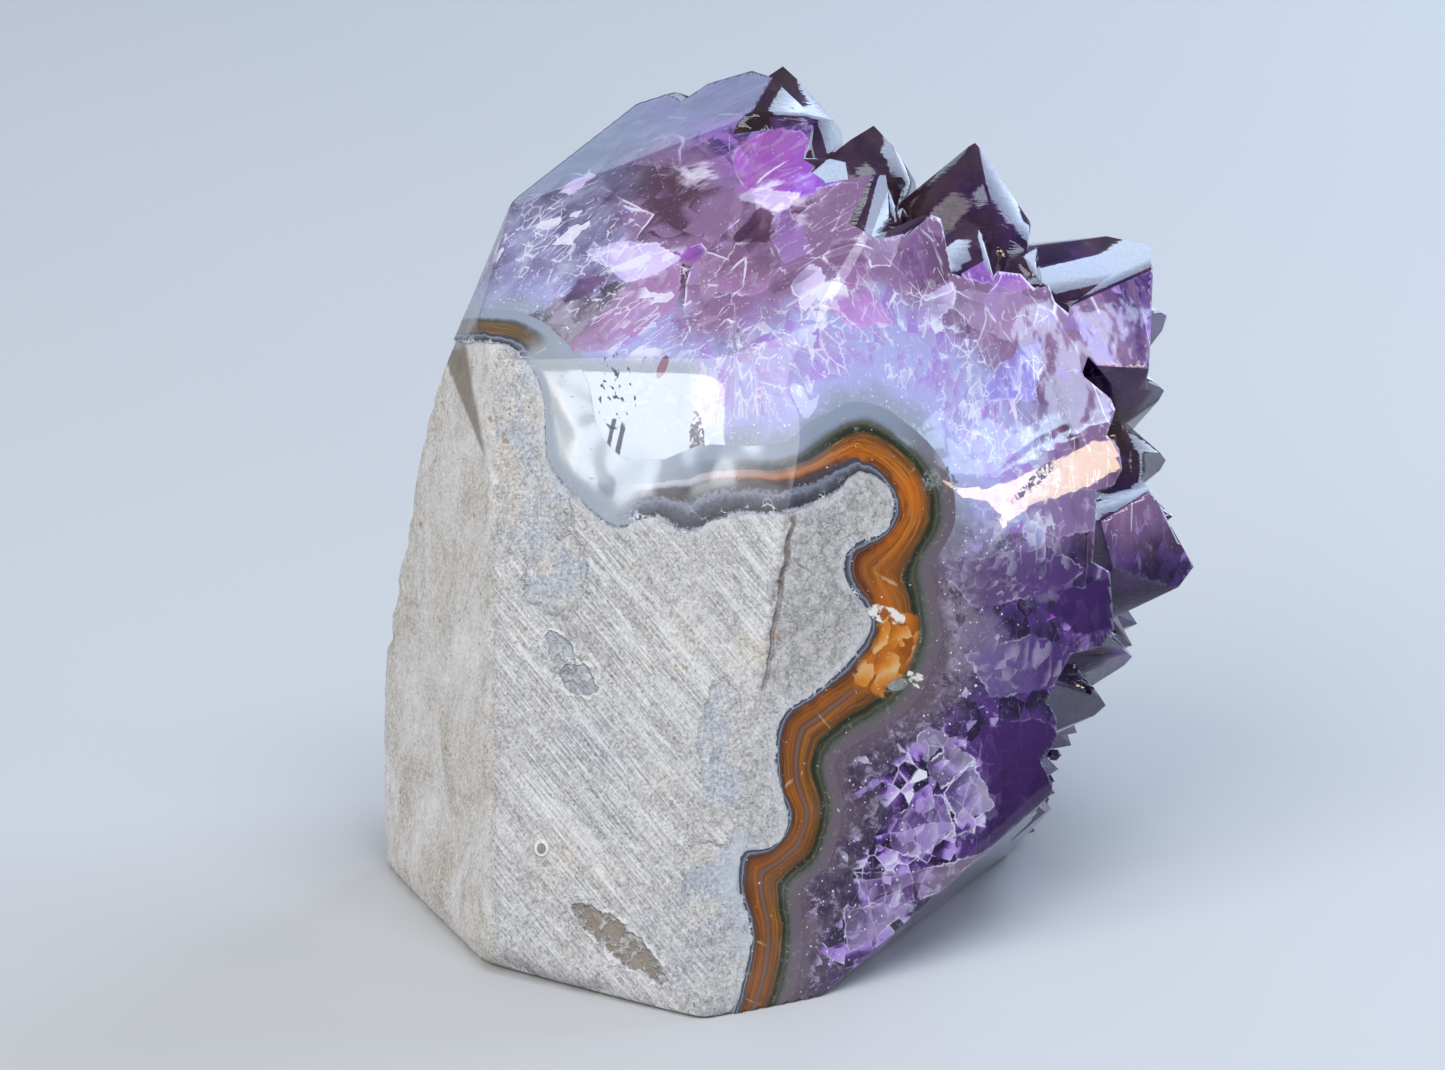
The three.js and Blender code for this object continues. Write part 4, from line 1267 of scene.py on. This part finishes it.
# One pointed crystal of unit width, its root at the origin and its shoulders uneven
def crystalSeed():
    turns = [math.radians(60 * i) for i in range(6)]
    ring = [(0.5 * math.cos(turn), 0.5 * math.sin(turn)) for turn in turns]
    root = [(x, y, -druse["root"]) for x, y in ring]
    taper = druse["taper"]
    rises = [druse["shoulder"] + druse["uneven"] * (-1) ** i for i in range(6)]
    shoulders = [(x * taper, y * taper, rise) for (x, y), rise in zip(ring, rises)]
    faces = [tuple(reversed(range(6)))]
    faces += [(i, (i + 1) % 6, 6 + (i + 1) % 6, 6 + i) for i in range(6)]
    faces += [(6 + i, 6 + (i + 1) % 6, 12) for i in range(6)]
    return makeObject("crystalSeed", root + shoulders + [druse["tip"]], faces)


# A node tree that scatters the seed crystal over the marked faces and joins all of them
def druseTree():
    tree = bpy.data.node_groups.new("smallCrystals", "GeometryNodeTree")
    for name, kind in (
        ("Geometry", "Geometry"), ("Seed crystal", "Object"), ("Apart", "Float"), ("Densest", "Float"),
        ("Least width", "Float"), ("Most width", "Float"), ("Least slender", "Float"),
        ("Most slender", "Float"), ("Lean", "Float"), ("Most turn", "Float"), ("Seed", "Int"),
        ("Finish", "Material"),
    ):
        tree.interface.new_socket(name, in_out="INPUT", socket_type="NodeSocket" + kind)
    tree.interface.new_socket("Geometry", in_out="OUTPUT", socket_type="NodeSocketGeometry")
    entry = tree.nodes.new("NodeGroupInput")

    def add(kind, settings, sockets, out=0):
        node = tree.nodes.new(kind)
        for key, value in settings.items():
            setattr(node, key, value)
        for key, value in sockets.items():
            slot = next(s for s in node.inputs if s.identifier == key)
            if isinstance(value, bpy.types.NodeSocket):
                tree.links.new(value, slot)
            else:
                slot.default_value = value
        return node.outputs[out]

    def given(name):
        return entry.outputs[name]

    def named(name, kind):
        return add("GeometryNodeInputNamedAttribute", {"data_type": kind}, {"Name": name})

    points = add("GeometryNodeDistributePointsOnFaces", {"distribute_method": "POISSON"}, {
        "Mesh": given("Geometry"), "Selection": named("hollow", "BOOLEAN"), "Distance Min": given("Apart"),
        "Density Max": given("Densest"), "Seed": given("Seed"),
    })
    shake = add("FunctionNodeRandomValue", {"data_type": "FLOAT_VECTOR"}, {
        "Min": (-1, -1, -1), "Max": (1, 1, 1), "Seed": given("Seed")})
    lean = add("ShaderNodeVectorMath", {"operation": "SCALE"}, {"Vector": shake, "Scale": given("Lean")})
    way = add("ShaderNodeVectorMath", {"operation": "ADD"}, {
        "Vector": named("growthWay", "FLOAT_VECTOR"), "Vector_001": lean})
    upright = add("FunctionNodeAlignRotationToVector", {"axis": "Z"}, {"Vector": way})
    angle = add("FunctionNodeRandomValue", {"data_type": "FLOAT"}, {
        "Max_001": given("Most turn"), "Seed": given("Seed")}, 1)
    spin = add("FunctionNodeAxisAngleToRotation", {}, {"Angle": angle})
    turned = add("FunctionNodeRotateRotation", {"rotation_space": "LOCAL"}, {
        "Rotation": upright, "Rotate By": spin})
    width = add("FunctionNodeRandomValue", {"data_type": "FLOAT"}, {
        "Min_001": given("Least width"), "Max_001": given("Most width"), "Seed": given("Seed")}, 1)
    slender = add("FunctionNodeRandomValue", {"data_type": "FLOAT"}, {
        "Min_001": given("Least slender"), "Max_001": given("Most slender"), "Seed": given("Seed")}, 1)
    length = add("ShaderNodeMath", {"operation": "MULTIPLY"}, {"Value": width, "Value_001": slender})
    size = add("ShaderNodeCombineXYZ", {}, {"X": width, "Y": width, "Z": length})
    # not as an instance, because the union below counts each copy's own mesh
    seedCrystal = add("GeometryNodeObjectInfo", {}, {
        "Object": given("Seed crystal"), "As Instance": False}, 4)
    grown = add("GeometryNodeInstanceOnPoints", {}, {
        "Points": points, "Instance": seedCrystal, "Rotation": turned, "Scale": size})
    joined = add("GeometryNodeMeshBoolean", {"operation": "UNION", "solver": "MANIFOLD"}, {"Mesh 2": grown})
    realized = add("GeometryNodeRealizeInstances", {}, {"Geometry": joined})
    finished = add("GeometryNodeSetMaterial", {}, {"Geometry": realized, "Material": given("Finish")})
    tree.links.new(finished, tree.nodes.new("NodeGroupOutput").inputs[0])
    return tree


# Marks the hollows between the large crystals, and the way that crystals grow there
def markHollows(piece):
    mesh = piece.data
    centres = np.array([face.center for face in mesh.polygons], float)
    normals = np.array([face.normal for face in mesh.polygons], float)
    across, up, deep = toCut(centres)
    wander = swayAt(across, up, deep)
    even, outside, at = smoothCurve(druse["edge"], curveSteps)
    across, up = across - wander[0], up - wander[1]
    gap = fromEdge(across, up, even, outside, at)
    nearest = np.clip(np.searchsorted(at, gap[1]), 0, len(at) - 1)
    way = np.stack([
        outside[nearest, 0], outside[nearest, 1] * dipSin, outside[nearest, 1] * dipCos,
    ], -1)
    facing = (way * normals).sum(axis=1) > 0.05
    hollow = (gap[0] > druse["hollowAbove"]) & (gap[0] < druse["hollowBelow"]) & facing
    groundWays = np.array([direction(azimuth, rise) for azimuth, rise, reach in groundFaces.values()])
    reaches = np.array([face[2] for face in groundFaces.values()], float)
    cover = (reaches - (centres / mm - frontCorner) @ groundWays.T).min(axis=1)
    hollow &= cover > druse["behindGround"]
    mesh.attributes.new("hollow", "BOOLEAN", "FACE").data.foreach_set("value", hollow)
    layer = mesh.attributes.new("growthWay", "FLOAT_VECTOR", "FACE")
    layer.data.foreach_set("vector", way.astype(np.float32).ravel())


crystals = copyOf(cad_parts["amethyst_crystals"], "amethystCrystals")
shape = bmesh.new()
shape.from_mesh(crystals.data)
bmesh.ops.remove_doubles(shape, verts=shape.verts, dist=2e-6)
bmesh.ops.dissolve_degenerate(shape, edges=shape.edges, dist=1e-7)
shape.to_mesh(crystals.data)
shape.free()
crystals.data.materials.clear()
crystals.data.materials.append(naturalQuartz)
ground = copyOf(crystals, "druseGround")
markHollows(ground)
seedCrystal = crystalSeed()
scatter = ground.modifiers.new("smallCrystals", "NODES")
scatter.node_group = druseTree()
settings = {
    "Seed crystal": seedCrystal,
    "Apart": druse["apart"] * mm,
    "Densest": druse["densest"],
    "Least width": druse["width"][0] * mm,
    "Most width": druse["width"][1] * mm,
    "Least slender": druse["slender"][0],
    "Most slender": druse["slender"][1],
    "Lean": druse["lean"],
    "Most turn": druse["mostTurn"],
    "Seed": druse["seed"],
    "Finish": naturalQuartz,
}
for socket in scatter.node_group.interface.items_tree:
    if socket.name in settings:
        scatter[socket.identifier] = settings[socket.name]
settle(ground)
print("small crystals", len(ground.data.polygons), "faces")
combine(crystals, ground, "UNION")
quartzSkin = makeObject("quartzSkin", (points - away * stone["quartzInset"] + frontCorner) * mm, quads)
quartzSkin.data.materials.append(polishedQuartz)
combine(crystals, quartzSkin, "INTERSECT")
print("crystals", len(crystals.data.polygons), "faces")
discard(skin, polished, quartzSkin, rockCutter, agateCutter, ground, seedCrystal)


for piece, finish in ((basalt, basaltMaterial), (agate, agateMaterial)):
    piece.data.materials.clear()
    piece.data.materials.append(finish)
    piece.data.polygons.foreach_set("material_index", [0] * len(piece.data.polygons))
for piece in (basalt, agate, crystals):
    rounded = [piece.data.materials[face.material_index] != naturalQuartz for face in piece.data.polygons]
    piece.data.polygons.foreach_set("use_smooth", rounded)
    piece.data.set_sharp_from_angle(angle=math.radians(stone["sharpAbove"]))
for piece, node, slotName in (
    (basalt, "basalt_matrix", "basalt"),
    (agate, "agate_band", "agate"),
    (crystals, "amethyst_crystals", "amethyst"),
):
    print(piece.name, [m.name for m in piece.data.materials if m])
    writeStrata(piece)
    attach(piece, "root")
    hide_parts(node)

# Floor, lights and camera
studio = {
    "photoScale": 0.115,       # mm to a pixel of the photograph in the focus plane
    "cameraDistance": 620.0,   # mm from that plane
    "cameraRise": 18.0,
    "cornerPixel": (700.0, 1022.0),
    "pictureSize": (1445, 1070),
    "sensorWidth": 36,
    "aimHeight": 0.05,         # the panels shine at this height, m
    "floorReach": 3,
    "floorColour": (0.55, 0.55, 0.56, 1),
    "floorRoughness": 0.6,
    "airColour": (0.75, 0.8, 0.9, 1),
    "airStrength": 0.28,
}


def addFloor():
    r = studio["floorReach"]
    floor = makeObject("floor", [(-r, -r, 0), (r, -r, 0), (r, r, 0), (-r, r, 0)], [(0, 1, 2, 3)])
    made = Recipe("paleFloor")
    floor.data.materials.append(made.finish(made.add("ShaderNodeBsdfPrincipled", None, {
        "Base Color": studio["floorColour"], "Roughness": studio["floorRoughness"],
    })))


# name: (direction it shines from, distance, size, radiance, colour, turn about its axis)
panels = {
    "keySoft": ((-0.52, -0.62, 0.75), 1.3, (1.1, 1.1), 2.9, (1.0, 0.975, 0.94), 0),
    "topSoft": ((0.25, -0.25, 1.0), 1.2, (0.68, 0.68), 5.2, (0.80, 0.90, 1.0), 0),
    "leftWindow": ((-0.790, -0.515, 0.329), 0.9, (0.037, 0.060), 9.5, (0.84, 0.92, 1.0), 20),
    "creamStrip": ((-0.804, -0.499, 0.325), 0.88, (0.009, 0.050), 9.0, (1.0, 0.86, 0.55), 20),
    "rightWindow": ((0.933, -0.147, 0.330), 0.9, (0.032, 0.062), 8.0, (0.60, 0.78, 1.0), -29),
    "sillWindow": ((0.932, -0.173, 0.320), 0.89, (0.062, 0.027), 5.0, (0.60, 0.80, 1.0), -29),
    "warmLamp": ((0.953, -0.232, 0.186), 0.9, (0.18, 0.115), 14.0, (1.0, 0.80, 0.50), 0),
    "backSky": ((-0.22, 0.89, 0.39), 1.1, (0.36, 0.32), 1.2, (0.58, 0.78, 1.0), 0),
    "rightSky": ((0.70, 0.60, 0.36), 1.1, (1.0, 0.8), 5.5, (0.60, 0.76, 1.0), 0),
}


def addPanel(name, towards, distance, size, radiance, colour, turn):
    light = bpy.data.lights.new(name, "AREA")
    light.shape = "RECTANGLE"
    light.size, light.size_y = size
    light.energy = radiance * math.pi * size[0] * size[1]
    light.color = colour
    panel = bpy.data.objects.new(name, light)
    towards = Vector(towards).normalized()
    panel.location = Vector((0, 0, studio["aimHeight"])) + towards * distance
    facing = towards.to_track_quat("Z", "Y") @ Quaternion((0, 0, 1), math.radians(turn))
    panel.rotation_euler = facing.to_euler()
    scene.collection.objects.link(panel)


def addCamera():
    width, height = studio["pictureSize"]
    scale, distance = studio["photoScale"], studio["cameraDistance"]
    rise = math.radians(studio["cameraRise"])
    right = (width / 2 - studio["cornerPixel"][0]) * scale
    up = (studio["cornerPixel"][1] - height / 2) * scale
    lens = bpy.data.cameras.new("camera")
    lens.sensor_width = studio["sensorWidth"]
    lens.lens = studio["sensorWidth"] * distance / scale / width
    lens.clip_start = 0.01
    camera = bpy.data.objects.new("camera", lens)
    camera.rotation_euler = (math.radians(90) - rise, 0, 0)
    camera.location = Vector(
        (np.array([
            right, up * math.sin(rise) - distance * math.cos(rise),
            up * math.cos(rise) + distance * math.sin(rise),
        ]) + frontCorner) * mm
    )
    scene.collection.objects.link(camera)
    scene.camera = camera


addFloor()
for name, values in panels.items():
    addPanel(name, *values)
addCamera()
world = bpy.data.worlds.new("studioAir")
world.use_nodes = True
background = world.node_tree.nodes["Background"]
background.inputs["Color"].default_value = studio["airColour"]
background.inputs["Strength"].default_value = studio["airStrength"]
scene.world = world
scene.view_settings.view_transform = "Standard"
print("studio", len(panels), "panels")
